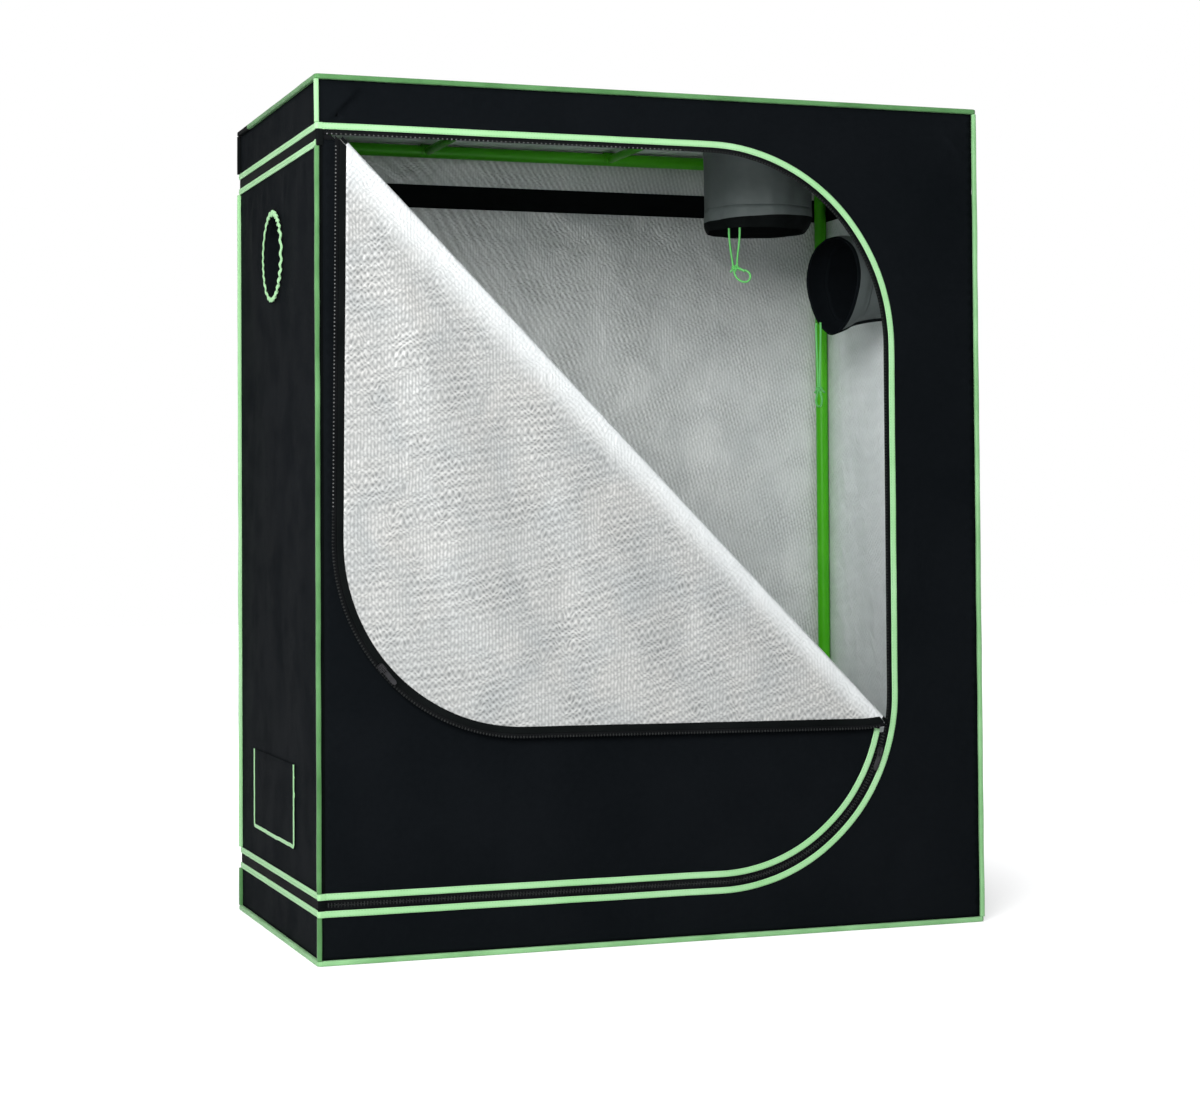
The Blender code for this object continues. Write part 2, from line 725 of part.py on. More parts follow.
def edge_distance(point, loop):
    """How far a point lies from the nearest side of a loop."""
    best = math.inf
    for k in range(len(loop)):
        a = loop[k - 1]
        side = loop[k] - a
        share = min(1, max(0, (point - a).dot(side) / side.length_squared))
        best = min(best, (a + side * share - point).length)
    return best


def flap_wave(point, loop):
    """How far the flap's cloth sways from its flat sheet. Its zipped edge and its fold stay flat."""
    rise = (edge_distance(point, loop) - FLAP_FLAT_EDGE) / FLAP_WAVE_START
    rise = min(1, max(0, rise))
    hanging = folded(point, 0)
    sway = math.sin(2 * math.pi * (hanging.x + hanging.z * FLAP_WAVE_SLANT) / FLAP_WAVE_LENGTH)
    return FLAP_WAVE_DEPTH * rise * rise * (3 - 2 * rise) * (1 + sway) / 2


def waved_sheet(name, loop, low, high, place, colour, origin):
    """A sheet of cloth that sways between its flat edges, with both faces alike."""
    count = len(loop)
    inner = []
    left = min(point.x for point in loop)
    bottom = min(point.y for point in loop)
    across = int((max(point.x for point in loop) - left) / FLAP_STEP)
    rows = int((max(point.y for point in loop) - bottom) / FLAP_STEP)
    for i in range(across + 1):
        for k in range(rows + 1):
            point = Vector((left + i * FLAP_STEP, bottom + k * FLAP_STEP))
            beyond = sum(crosses(point, loop[n - 1], loop[n]) for n in range(count)) % 2 == 0
            if not beyond and edge_distance(point, loop) > FLAP_STEP / 2:
                inner.append(point)
    edges = [(k, (k + 1) % count) for k in range(count)]
    flat, _, triangles, _, _, _ = delaunay_2d_cdt(loop + inner, edges, [], 1, MERGE_REACH)
    total = len(flat)
    waves = [flap_wave(point, loop) for point in flat]
    lifted = list(zip(flat, waves))
    points = [place(spot.x, spot.y, level + wave) for level in (low, high) for spot, wave in lifted]
    faces = []
    for triangle in triangles:
        faces.append(tuple(triangle))
        faces.append(tuple(total + i for i in reversed(triangle)))
    for a, b in edges:
        faces.append((a, b, total + b, total + a))
    return add_object(name, points, faces, colour, origin, smooth=True)


def crosses(point, a, b):
    """Whether a line from the point towards +u crosses the side from a to b."""
    if (a.y > point.y) == (b.y > point.y):
        return False
    return point.x < a.x + (point.y - a.y) * (b.x - a.x) / (b.y - a.y)


def add_flap():
    """The unzipped upper right part of the door, folded down in front of the rest."""
    origin = fold_origin()

    def place(u, v, w):
        return folded(Vector((u, v)), w)

    stations = trimmed(outline_stations(), [DOOR_EDGE], 1, 0)[0]
    loop = [point - out * DOOR_EDGE for point, out in stations]
    waved_sheet("door_flap", loop, -WALL_Y - CLOTH, -WALL_Y, place, "lining_silver", origin)
    near_y = FRONT_FACE_Y - GAP
    far_y = near_y - LINE_THICKNESS
    upper = trimmed(outline_stations(), [DOOR_EDGE, DOOR_LINE_IN], 1, LINE_END_MARGIN)[0]
    strip("flap_piping", upper, DOOR_EDGE, DOOR_LINE_IN, near_y, far_y, "binding_green", folded, origin)
    low = DOOR_MID_Y + TAPE_THICKNESS / 2
    high = DOOR_MID_Y - TAPE_THICKNESS / 2
    upper = trimmed(outline_stations(), [DOOR_TAPE_OUT, DOOR_TAPE_IN], 1, FLAP_TAPE_MARGIN)[0]
    strip("zip_tape_flap", upper, DOOR_TAPE_OUT, DOOR_TAPE_IN, low, high, "zip_black", folded, origin)


def slider_frame(point, down, y, side):
    """Turns a slider's own across, along and outward distances into a place. side is -1 for facing -Y."""
    across = Vector((down.y, -down.x))

    def place(a, b, c):
        flat = point + across * a + down * b
        return Vector((flat.x, y + side * c, flat.y))

    return place


def add_slider(name, pull_name, place, origin):
    """A zip slider with a bridge, and the pull whose bar hangs under the bridge."""
    half = SLIDER_WIDTH / 2
    end = SLIDER_LENGTH / 2
    corner = SLIDER_WIDTH / 4
    outline = [(-half + corner, -end), (half - corner, -end), (half, -end + corner), (half, end - corner)]
    outline += [(half - corner, end), (-half + corner, end), (-half, end - corner), (-half, -end + corner)]
    body = slab(name, [outline], GAP, GAP + SLIDER_THICKNESS, place, "metal_dark", origin=origin)
    foot = BRIDGE_WIDTH
    reach = BRIDGE_LENGTH / 2
    base = GAP + SLIDER_THICKNESS / 2
    room = GAP + SLIDER_THICKNESS + BRIDGE_ROOM
    top = room + BRIDGE_BAR
    arch = [(-reach, base), (-reach + foot, base), (-reach + foot, room), (reach - foot, room)]
    arch += [(reach - foot, base), (reach, base), (reach, top), (-reach, top)]

    def sideways(u, v, w):
        return place(w, u, v)

    reach = BRIDGE_WIDTH / 2
    bridge = slab("bridge", [arch], -reach, reach, sideways, "metal_dark", origin=origin)
    combine(body, bridge, "UNION")
    eye_top = -PULL_BAR / 2
    eye_low = eye_top + PULL_BAR
    far = eye_low + PULL_EYE_LENGTH
    wide = PULL_WIDTH / 2
    eye = PULL_EYE_WIDTH / 2
    level = GAP + SLIDER_THICKNESS + BRIDGE_ROOM / 2
    hinge = place(0, 0, level)
    outline = [(-wide, eye_top), (wide, eye_top), (wide, PULL_LENGTH - wide)]
    outline += [(wide / 2, PULL_LENGTH), (-wide / 2, PULL_LENGTH), (-wide, PULL_LENGTH - wide)]
    hole = rectangle(-eye, eye_low, eye, far)
    low = level - PULL_THICKNESS / 2
    slab(pull_name, [outline, hole], low, low + PULL_THICKNESS, place, "metal_dark", origin=hinge)


def add_sliders():
    centre = Vector((DOOR_RIGHT_X - LOWER_RADIUS, DOOR_BOTTOM_Z + LOWER_RADIUS))
    turn = math.radians(LOWER_SLIDER_DEG)
    out = Vector((math.cos(turn), math.sin(turn)))
    point = centre + out * (LOWER_RADIUS - TAPE_MIDDLE)
    down = Vector((out.y, -out.x))
    place = slider_frame(point, down, DOOR_MID_Y - TAPE_THICKNESS / 2, -1)
    add_slider("zip_slider_lower", "zip_pull_lower", place, upright(centre, DOOR_MID_Y))

    centre = Vector((DOOR_RIGHT_X - UPPER_RADIUS, DOOR_TOP_Z - UPPER_RADIUS))
    turn = math.radians(90 - 90 * FLAP_SLIDER_SHARE)
    out = Vector((math.cos(turn), math.sin(turn)))
    inward = DOOR_TAPE_OUT + SLIDER_WIDTH / 2 + SLIDER_EDGE
    closed_point = centre + out * (UPPER_RADIUS - inward)
    point = folded(closed_point, DOOR_MID_Y)
    ahead = folded(closed_point + Vector((-out.y, out.x)), DOOR_MID_Y)
    down = Vector((ahead.x - point.x, ahead.z - point.z))
    if down.y > 0:
        down = -down
    level = point.y - TAPE_THICKNESS / 2
    place = slider_frame(Vector((point.x, point.z)), down, level, -1)
    add_slider("zip_slider_flap", "zip_pull_flap", place, folded(centre, DOOR_MID_Y))


# Ports, sleeves and their drawstrings


def fold_reach(radius, depth, turn):
    """A gathered ring's reach at a turn: it dips in once for each fold."""
    return radius - depth * (1 - math.cos(SLEEVE_FOLDS * turn)) / 2


def gathered(centre, u, v, radius, depth, pinch=0):
    """A ring of gathered cloth. A pinch narrows its lower half by that share and lets it sag."""
    points = []
    for k in range(ROUND_STEPS):
        turn = 2 * math.pi * k / ROUND_STEPS
        reach = fold_reach(radius, depth, turn)
        drawn = pinch * ((1 - math.sin(turn)) / 2) ** 2
        across = reach * math.cos(turn) * (1 - drawn)
        rise = reach * math.sin(turn) * (1 + MOUTH_SAG_RATIO * drawn)
        points.append(Vector(centre) + across * Vector(u) + rise * Vector(v))
    return points


def shell(name, places, thickness, colour):
    """A tube of cloth through (centre, u, v, radius, depth, pinch) places, open at both ends."""
    outer = [gathered(*place) for place in places]
    inner = []
    for centre, u, v, radius, *rest in reversed(places):
        inner.append(gathered(centre, u, v, radius - thickness, *rest))
    return loft(name, outer + inner, colour, closed=True, smooth=True)


def add_roof_sleeve():
    x = ROOF_PORT_X_SHARE * TENT_WIDTH
    top = ROOF_Z + CLOTH
    low = ROOF_Z - ROOF_SLEEVE_LENGTH
    end = low - GAP - COLLAR_LENGTH
    u = (1, 0, 0)
    v = (0, 1, 0)
    places = []
    for share in SLEEVE_RING_SHARES:
        z = top + (low - top) * share
        places.append(((x, 0, z), u, v, ROOF_SLEEVE_RADIUS, SLEEVE_FOLD_DEPTH * share))
    shell("roof_sleeve", places, CLOTH, "lining_silver")
    places = []
    for share in COLLAR_RING_SHARES:
        z = low - GAP - COLLAR_LENGTH * share
        places.append(((x, 0, z), u, v, ROOF_SLEEVE_RADIUS + COLLAR_EXTRA, collar_depth(share)))
    shell("roof_sleeve_collar", places, CLOTH + COLLAR_EXTRA, "zip_black")
    return x, end


def collar_depth(share):
    """How deep the folds are at a share of a collar's length: its drawstring gathers it at the end."""
    return SLEEVE_FOLD_DEPTH + (COLLAR_FOLD_DEPTH - SLEEVE_FOLD_DEPTH) * share


def sleeve_place(share, length):
    """Middle and directions of the right sleeve at a share of its way in from the wall."""
    turn = math.radians(RIGHT_SLEEVE_TURN_DEG) * share
    along = Vector((-math.cos(turn), -math.sin(turn), 0))
    across = Vector((-along.y, along.x, 0))
    far = share * length
    x = WALL_X + CLOTH - far
    y = -far * math.tan(turn) / 2
    z = RIGHT_PORT_Z_SHARE * TENT_HEIGHT - RIGHT_SLEEVE_DROOP * share * share
    return Vector((x, y, z)), across, Vector((0, 0, 1)), along


def add_right_sleeve():
    whole = RIGHT_SLEEVE_LENGTH + GAP + COLLAR_LENGTH
    split = RIGHT_SLEEVE_LENGTH / whole
    begin = (RIGHT_SLEEVE_LENGTH + GAP) / whole
    places = []
    for share in SLEEVE_RING_SHARES:
        centre, u, v, _ = sleeve_place(split * share, whole)
        pinch = MOUTH_PINCH_SHARE * (split * share) ** 2
        places.append((centre, u, v, RIGHT_SLEEVE_RADIUS, SLEEVE_FOLD_DEPTH * share, pinch))
    shell("right_sleeve", places, CLOTH, "lining_silver")
    places = []
    for share in COLLAR_RING_SHARES:
        far = begin + (1 - begin) * share
        centre, u, v, _ = sleeve_place(far, whole)
        pinch = MOUTH_PINCH_SHARE * far * far
        places.append((centre, u, v, RIGHT_SLEEVE_RADIUS + COLLAR_EXTRA, collar_depth(share), pinch))
    shell("right_sleeve_collar", places, CLOTH + COLLAR_EXTRA, "zip_black")
    return places[-1][:4]


def add_left_port():
    y = LEFT_PORT_Y_SHARE * TENT_DEPTH
    z = LEFT_PORT_Z_SHARE * TENT_HEIGHT
    x = -WALL_X - CLOTH - GAP - LEFT_RING_TUBE
    major = LEFT_PORT_RADIUS + LEFT_RING_TUBE / 2
    rings = []
    for k in range(RUFFLES * RUFFLE_STEPS):
        turn = 2 * math.pi * k / (RUFFLES * RUFFLE_STEPS)
        out = Vector((0, math.cos(turn), math.sin(turn)))
        centre = Vector((x, y, z)) + (major + RUFFLE_DEPTH * math.cos(RUFFLES * turn)) * out
        rings.append(circle(centre, out, (1, 0, 0), LEFT_RING_TUBE, RING_SIDES))
    loft("left_port_ring", rings, "binding_green", closed=True, smooth=True)
    wide = LEFT_PORT_RADIUS - GAP
    narrow = wide * LEFT_SOCK_END_SHARE
    start = -WALL_X - CLOTH
    tip = start + LEFT_SOCK_LENGTH
    u = (0, 1, 0)
    v = (0, 0, 1)
    outer = []
    inner = []
    for share in SLEEVE_RING_SHARES:
        radius = narrow + (wide - narrow) * math.sqrt(1 - share * share)
        depth = LEFT_SOCK_FOLD_DEPTH * math.sin(math.pi * share) + RUFFLE_DEPTH * share
        outer.append(gathered((start + LEFT_SOCK_LENGTH * share, y, z), u, v, radius, depth))
        inside = start + (LEFT_SOCK_LENGTH - CLOTH) * share
        inner.append(gathered((inside, y, z), u, v, radius - CLOTH, depth))
    loft("left_port_sleeve", outer[::-1] + inner, "cloth_black", smooth=True)


def add_cord(name, anchors):
    """A thin round cord through the given points, smoothed."""
    points = smooth_path([Vector(anchor) for anchor in anchors])
    data = bpy.data.curves.new(name, "CURVE")
    data.dimensions = "3D"
    data.bevel_depth = CORD_RADIUS
    data.bevel_resolution = 2
    data.use_fill_caps = True
    spline = data.splines.new("POLY")
    spline.points.add(len(points) - 1)
    start = points[0]
    for node, point in zip(spline.points, points):
        node.co = (*(point - start), 1)
    obj = bpy.data.objects.new(name, data)
    obj.location = start
    bpy.context.scene.collection.objects.link(obj)
    data.materials.append(material("binding_green"))


def smooth_path(anchors):
    """Points along a soft curve through the anchors."""
    ends = [anchors[0] * 2 - anchors[1]] + anchors + [anchors[-1] * 2 - anchors[-2]]
    points = []
    for i in range(1, len(ends) - 2):
        a, b, c, d = ends[i - 1 : i + 3]
        for k in range(CORD_STEPS):
            t = k / CORD_STEPS
            part = b * 2 + (c - a) * t + (a * 2 - b * 5 + c * 4 - d) * t * t
            points.append((part + (b * 3 - a - c * 3 + d) * t * t * t) / 2)
    points.append(anchors[-1])
    return points


def add_drawstrings(roof, mouth):
    """Each drawstring is one loop: down from the collar to its knot, round below it and up again."""
    x, end = roof
    turn = math.radians(ROOF_CORD_AZIMUTH_DEG)
    out = Vector((math.cos(turn), math.sin(turn), 0))
    side = Vector((-out.y, out.x, 0))
    top = Vector((x, 0, end - 2 * GAP)) + out * fold_reach(ROOF_SLEEVE_RADIUS, COLLAR_FOLD_DEPTH, turn)
    down = Vector((0, 0, -1))
    add_cord("roof_drawstring", [top + side * a + down * b for a, b in ROOF_CORD_ROUTE])
    centre, u, v, radius = mouth
    along = Vector(u).cross(Vector(v)).normalized()
    if along.x > 0:
        along = -along
    start = centre + along * (GAP + CORD_RADIUS) - Vector(u) * RIGHT_CORD_ASIDE
    start -= Vector(v) * (radius - CLOTH - RIGHT_CORD_RISE)
    add_cord("right_drawstring", [start + Vector(u) * a + down * b for a, b in RIGHT_CORD_ROUTE])


# Vent and floor tray


def add_vent():
    y0, z0, y1, z1 = vent_box()
    near = -WALL_X - CLOTH - GAP
    far = near - VENT_FLAP_THICKNESS
    hinge = (near - VENT_RIM_THICKNESS - GAP, (y0 + y1) / 2, z1)
    loop = rectangle(y0, z0, y1, z1)
    flap = slab("vent_flap", [loop], far, near, on_side, "cloth_black", origin=hinge)
    rim = VENT_RIM_WIDTH
    inner = rectangle(y0 + rim, z0 + rim, y1 - rim, z1)
    border = [(y0, z1), (y0, z0), (y1, z0), (y1, z1)] + [inner[2], inner[1], inner[0], inner[3]]
    outer = near - VENT_RIM_THICKNESS
    inside = far + VENT_FLAP_THICKNESS / 2
    edge = slab("rim", [border], outer, inside, on_side, "binding_green", origin=hinge)
    combine(flap, edge, "UNION")
    y0, z0, y1, z1 = vent_box(VENT_HOLE_INSET - VENT_MESH_LAP)
    low = -WALL_X + GAP
    loop = rectangle(y0, z0, y1, z1)
    slab("vent_net", [loop], low, low + VENT_MESH_THICKNESS, on_side, "net_black")


def add_tray():
    x = POST_X - CORNER_REACH
    y = POST_Y - CORNER_REACH
    low = CLOTH + GAP
    high = low + TRAY_LIP
    wall = TRAY_THICKNESS

    def ring(inset, z):
        return [(a, b, z) for a, b in rectangle(-x + inset, -y + inset, x - inset, y - inset)]

    rings = [ring(0, low), ring(0, high), ring(wall, high), ring(wall, low + wall)]
    loft("floor_tray", rings, "lining_silver", origin=(0, 0, low))


def main():
    clear_scene()
    add_posts()
    add_rails()
    add_connectors()
    add_hanging_bar("hanging_bar_left", BAR_LEFT_SHARE * TENT_WIDTH)
    add_hanging_bar("hanging_bar_right", BAR_RIGHT_SHARE * TENT_WIDTH)
    add_roof()
    add_floor()
    add_front()
    add_walls()
    add_edge_rings()
    add_corner_piping()
    add_bands()
    add_inner_band()
    add_frame_zip()
    add_door()
    add_flap()
    add_sliders()
    roof = add_roof_sleeve()
    mouth = add_right_sleeve()
    add_left_port()
    add_drawstrings(roof, mouth)
    add_vent()
    add_tray()


main()
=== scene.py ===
# %% [markdown]
# # Dressing an indoor grow tent
#
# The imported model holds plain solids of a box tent: a tube frame under a zipped cloth cover. This lesson
# hangs real cloth, binding tape, zips and cords on them, and lights them as a shop photograph does.
# Everything is in metres, with the tent's feet at height zero and its zipped front facing -Y.

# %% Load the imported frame
import math

import bmesh
import bpy
import numpy as np
from mathutils import Matrix, Vector, noise
from mathutils.geometry import delaunay_2d_cdt


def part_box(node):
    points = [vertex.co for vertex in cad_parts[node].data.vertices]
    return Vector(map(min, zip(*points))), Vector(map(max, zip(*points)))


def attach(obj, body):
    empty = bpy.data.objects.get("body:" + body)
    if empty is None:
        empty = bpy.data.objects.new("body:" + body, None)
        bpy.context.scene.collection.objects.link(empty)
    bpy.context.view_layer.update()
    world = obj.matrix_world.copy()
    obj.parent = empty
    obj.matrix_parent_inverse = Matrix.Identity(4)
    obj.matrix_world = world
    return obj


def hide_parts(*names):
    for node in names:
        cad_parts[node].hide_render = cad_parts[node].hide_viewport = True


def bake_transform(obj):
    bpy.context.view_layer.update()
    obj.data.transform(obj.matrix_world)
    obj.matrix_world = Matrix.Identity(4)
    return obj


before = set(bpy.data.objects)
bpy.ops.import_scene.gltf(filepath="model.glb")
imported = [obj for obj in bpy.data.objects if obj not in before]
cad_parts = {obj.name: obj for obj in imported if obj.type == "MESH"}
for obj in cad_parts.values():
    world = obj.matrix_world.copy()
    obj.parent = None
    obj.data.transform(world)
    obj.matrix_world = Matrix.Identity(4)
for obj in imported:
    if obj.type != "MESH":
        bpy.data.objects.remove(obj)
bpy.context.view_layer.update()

# %% [markdown]
# A camera that stands where the photographer stood is set first, so that every later choice can be judged
# against the picture. Its place and aim came from fitting the tent's corners. The long lens keeps the
# tent's uprights nearly parallel, and the small shift is how the picture was cropped.

# %% Set the camera
EYE = Vector((-1.561, -4.476, 0.739))
YAW, PITCH, ROLL = math.radians(19.99), math.radians(1.63), math.radians(-0.41)
ahead = Vector((math.sin(YAW) * math.cos(PITCH), math.cos(YAW) * math.cos(PITCH), math.sin(PITCH)))
right = Vector((math.cos(YAW), -math.sin(YAW), 0))
up = right.cross(ahead)
right, up = right * math.cos(ROLL) + up * math.sin(ROLL), up * math.cos(ROLL) - right * math.sin(ROLL)
camera = bpy.data.objects.new("camera", bpy.data.cameras.new("camera"))
camera.matrix_world = Matrix.Translation(EYE) @ Matrix((right, up, -ahead)).transposed().to_4x4()
camera.data.sensor_width = 36
camera.data.lens = 75.23
camera.data.shift_x = -0.0283
camera.data.shift_y = -0.0865
camera.data.clip_end = 60
bpy.context.scene.collection.objects.link(camera)
bpy.context.scene.camera = camera
print("camera at", [round(x, 3) for x in EYE])

# %% [markdown]
# Sizes are read from the solids, so that each piece of cloth lies where the frame says. Only what a box
# can't tell, such as the shares of the door's rounded corners, is repeated here.

# %% Read the tent's sizes


def low(node):
    return Vector(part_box(node)[0])


def high(node):
    return Vector(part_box(node)[1])


GAP = 0.0003
HALF_X, HALF_Y, TOP = high("top_edge_piping")
EDGE = TOP - low("top_edge_piping").z
WALL_X, WALL_Y, ROOF_Z = low("right_wall").x, low("back_wall").y, low("roof_panel").z
CLOTH = high("right_wall").x - WALL_X
FRONT_Y = -WALL_Y - CLOTH
LINE = 0.011
DOOR_LEFT, DOOR_RIGHT = low("zip_piping").x, high("zip_piping").x - LINE / 2
DOOR_BOTTOM, DOOR_TOP = low("zip_piping").z + LINE / 2, high("zip_piping").z - LINE / 2
SPAN = min(DOOR_RIGHT - DOOR_LEFT, DOOR_TOP - DOOR_BOTTOM)
UPPER_RADIUS, LOWER_RADIUS = 0.335 * SPAN, 0.322 * SPAN
TAPE_WIDTH = 0.0086
FRAME_TAPE = LINE / 2 + GAP
DOOR_TAPE = FRAME_TAPE + TAPE_WIDTH + GAP
TEETH = DOOR_TAPE - GAP / 2
DOOR_EDGE = DOOR_TAPE + TAPE_WIDTH + GAP
DOOR_MID_Y = FRONT_Y + CLOTH / 2
FOLD_RADIUS = 0.007
FOLD_Y = DOOR_MID_Y - FOLD_RADIUS
FOLD_START = Vector((DOOR_LEFT + 0.026 * SPAN, DOOR_TOP - DOOR_EDGE))
FOLD_END = Vector((DOOR_RIGHT - DOOR_EDGE, DOOR_BOTTOM + LOWER_RADIUS * (1 - 0.165)))
FOLD_ALONG = (FOLD_END - FOLD_START).normalized()
FOLD_NORMAL = Vector((-FOLD_ALONG.y, FOLD_ALONG.x))
BAND = DOOR_EDGE + LINE + LINE / 2
UPPER_BAND, LOWER_BAND = DOOR_TOP + LINE / 2 - BAND / 2, DOOR_BOTTOM - LINE / 2 + BAND / 2
print("wall", round(WALL_X, 4), round(WALL_Y, 4), "door", round(DOOR_RIGHT, 4), round(DOOR_TOP, 4))

# %% [markdown]
# Materials come next. A few effects are wanted in many of them: a weave, the diamond emboss of a
# silver lining, the cross ribs of binding tape, and soft clouds of wear. Each is a small node group
# with named inputs, so that a material only picks its scale. They read the cloth's own UV map, which is
# in metres, so that a thread has the same size on every piece.

# %% Small helpers for node trees


def node(tree, kind, values=None, **settings):
    made = tree.nodes.new(kind)
    for key, value in settings.items():
        setattr(made, key, value)
    for key, value in (values or {}).items():
        if isinstance(value, bpy.types.NodeSocket):
            tree.links.new(value, made.inputs[key])
        else:
            made.inputs[key].default_value = value
    return made


def maths(tree, operation, first, second=0.0, third=0.0):
    made = node(tree, "ShaderNodeMath", {0: first, 1: second, 2: third}, operation=operation)
    return made.outputs[0]


def effect_group(name, inputs, outputs):
    """A shader group with float inputs and outputs. Returns the tree, its input node and its output node."""
    tree = bpy.data.node_groups.new(name, "ShaderNodeTree")
    for label, value in inputs.items():
        tree.interface.new_socket(label, in_out="INPUT", socket_type="NodeSocketFloat").default_value = value
    for label in outputs:
        tree.interface.new_socket(label, in_out="OUTPUT", socket_type="NodeSocketFloat")
    return tree, tree.nodes.new("NodeGroupInput"), tree.nodes.new("NodeGroupOutput")


def put_out(tree, result, **values):
    """Links values to a group's outputs of the same names."""
    for label, value in values.items():
        tree.links.new(value, result.inputs[label])
    return tree


def object_noise(tree, **values):
    """Noise on Object coordinates."""
    values["Vector"] = node(tree, "ShaderNodeTexCoord").outputs["Object"]
    return node(tree, "ShaderNodeTexNoise", values).outputs[0]


def metres(tree):
    """The cloth's own lengthwise and crosswise place, in metres."""
    made = node(tree, "ShaderNodeSeparateXYZ", {0: node(tree, "ShaderNodeUVMap", uv_map="metres").outputs[0]})
    return made.outputs[0], made.outputs[1]


# %% [markdown]
# Oxford cloth is a basket weave of thick threads. Two crossed sine waves give a little hill for each
# thread that passes over its neighbour, which is all that shows from a step away.

# %% Weave group


def build_weave():
    tree, given, result = effect_group("basket weave", {"Pitch": 0.0012}, ["Height", "Shade"])
    u, v = metres(tree)
    turn = maths(tree, "DIVIDE", 2 * math.pi, given.outputs["Pitch"])
    waves = [maths(tree, "SINE", maths(tree, "MULTIPLY", place, turn)) for place in (u, v)]
    height = maths(tree, "MULTIPLY_ADD", maths(tree, "MULTIPLY", *waves), 0.5, 0.5)
    uneven = object_noise(tree, Scale=90.0, Detail=3.0)
    # Shade is part random tone and part the threads' height, which the materials paint lighter as a highlight on the
    # raised threads.
    shade = maths(tree, "MULTIPLY_ADD", uneven, 0.6, maths(tree, "MULTIPLY", height, 0.4))
    return put_out(tree, result, Height=height, Shade=shade)


WEAVE = build_weave()
print("made", WEAVE.name)

# %% [markdown]
# The lining is a silver film pressed over a scrim of threads, which leaves upright columns of small
# dents, each column half a step from the next. Two slanting saw waves multiplied make the dents. In a
# photograph they beat against the pixels as soft slanting bands, so such bands are added too. Noise
# lets dents, columns and bands come and go in patches, because real film is never flat. The cloth of
# the flap is folded over a slanting line, which turns its columns, so each lining has a turn of its own.

# %% Diamond group


def build_diamonds():
    values = {"Width": 0.012, "Height": 0.0078, "Turn": 0.0, "Spacing": 0.016, "Slant": 0.5, "Fan": 0.0, "Curl": 9.0}
    tree, given, result = effect_group("diamond emboss", values, ["Height", "Shade", "Bands", "Arcs"])
    flat = node(tree, "ShaderNodeUVMap", uv_map="metres").outputs[0]

    def flat_noise(scale, detail=2.0, distortion=0.0):
        values = {"Scale": scale, "Detail": detail, "Distortion": distortion, "Vector": flat}
        return node(tree, "ShaderNodeTexNoise", values).outputs[0]

    turning = {"Vector": flat, "Angle": given.outputs["Turn"]}
    turned = node(tree, "ShaderNodeVectorRotate", turning, rotation_type="Z_AXIS")
    u, v = node(tree, "ShaderNodeSeparateXYZ", {0: turned.outputs[0]}).outputs[:2]
    wobble, patch = flat_noise(34.0), flat_noise(13.0)
    patch = node(tree, "ShaderNodeMapRange", {"Value": patch, "From Min": 0.35, "From Max": 0.65}).outputs[0]
    x = maths(tree, "MULTIPLY_ADD", wobble, 0.5, maths(tree, "DIVIDE", u, given.outputs["Width"]))
    y = maths(tree, "MULTIPLY_ADD", wobble, -2.6, maths(tree, "DIVIDE", v, given.outputs["Height"]))
    saws = [maths(tree, "PINGPONG", maths(tree, how, x, y), 0.5) for how in ("ADD", "SUBTRACT")]
    dents = maths(tree, "MULTIPLY", *[maths(tree, "MULTIPLY_ADD", saw, -2.0, 1.0) for saw in saws])
    furrows = maths(tree, "PINGPONG", maths(tree, "MULTIPLY", x, 2.0), 0.5)
    dents = maths(tree, "MULTIPLY", dents, maths(tree, "MULTIPLY_ADD", patch, 0.7, 0.5))
    furrows = maths(tree, "MULTIPLY", furrows, maths(tree, "MULTIPLY_ADD", patch, -0.7, 1.0))
    height = maths(tree, "SUBTRACT", 1.0, maths(tree, "ADD", dents, furrows))
    broad, bands, grain = flat_noise(3.2, 1.0), flat_noise(9.0, 3.0, 0.8), flat_noise(210.0)
    lean = maths(tree, "MULTIPLY_ADD", u, given.outputs["Fan"], given.outputs["Slant"])
    phase = maths(tree, "DIVIDE", maths(tree, "MULTIPLY_ADD", u, lean, v), given.outputs["Spacing"])
    phase = maths(tree, "ADD", phase, maths(tree, "MULTIPLY", broad, given.outputs["Curl"]))
    wave = maths(tree, "SINE", maths(tree, "MULTIPLY", phase, 2 * math.pi))
    arcs = maths(tree, "MULTIPLY_ADD", wave, 0.5, 0.5)
    shown = maths(tree, "MULTIPLY", arcs, maths(tree, "MULTIPLY_ADD", patch, 0.7, 0.65))
    # Shade is the dents' height with some grain. The materials use it to paint the low parts darker, as shade in the
    # dents.
    shade = maths(tree, "MULTIPLY_ADD", height, 0.8, maths(tree, "MULTIPLY", grain, 0.4))
    return put_out(tree, result, Height=height, Shade=shade, Bands=bands, Arcs=shown)


DIAMONDS = build_diamonds()
print("made", DIAMONDS.name)

# %% [markdown]
# Binding tape and zip tape are woven with ribs across their length. The tape's UV map runs along it,
# so one rounded saw wave gives the ribs. Clouds are plain soft noise on Object coordinates: they stand
# for handling marks, dust and the way that cloth never has quite one colour.

# %% Rib and cloud groups


def build_ribs():
    tree, given, result = effect_group("cross ribs", {"Pitch": 0.0012}, ["Height"])
    u, _ = metres(tree)
    saw = maths(tree, "PINGPONG", maths(tree, "DIVIDE", u, given.outputs["Pitch"]), 0.5)
    return put_out(tree, result, Height=maths(tree, "SINE", maths(tree, "MULTIPLY", saw, math.pi)))


def build_clouds():
    tree, given, result = effect_group("soft clouds", {"Scale": 4.0, "Low": 0.3, "High": 0.7}, ["Mask"])
    cloud = object_noise(tree, Scale=given.outputs["Scale"], Detail=4.0, Roughness=0.55)
    limits = {"Value": cloud, "From Min": given.outputs["Low"], "From Max": given.outputs["High"]}
    return put_out(tree, result, Mask=node(tree, "ShaderNodeMapRange", limits).outputs[0])


RIBS, CLOUDS = build_ribs(), build_clouds()
print("made", RIBS.name, "and", CLOUDS.name)

# %% Helpers that every material uses


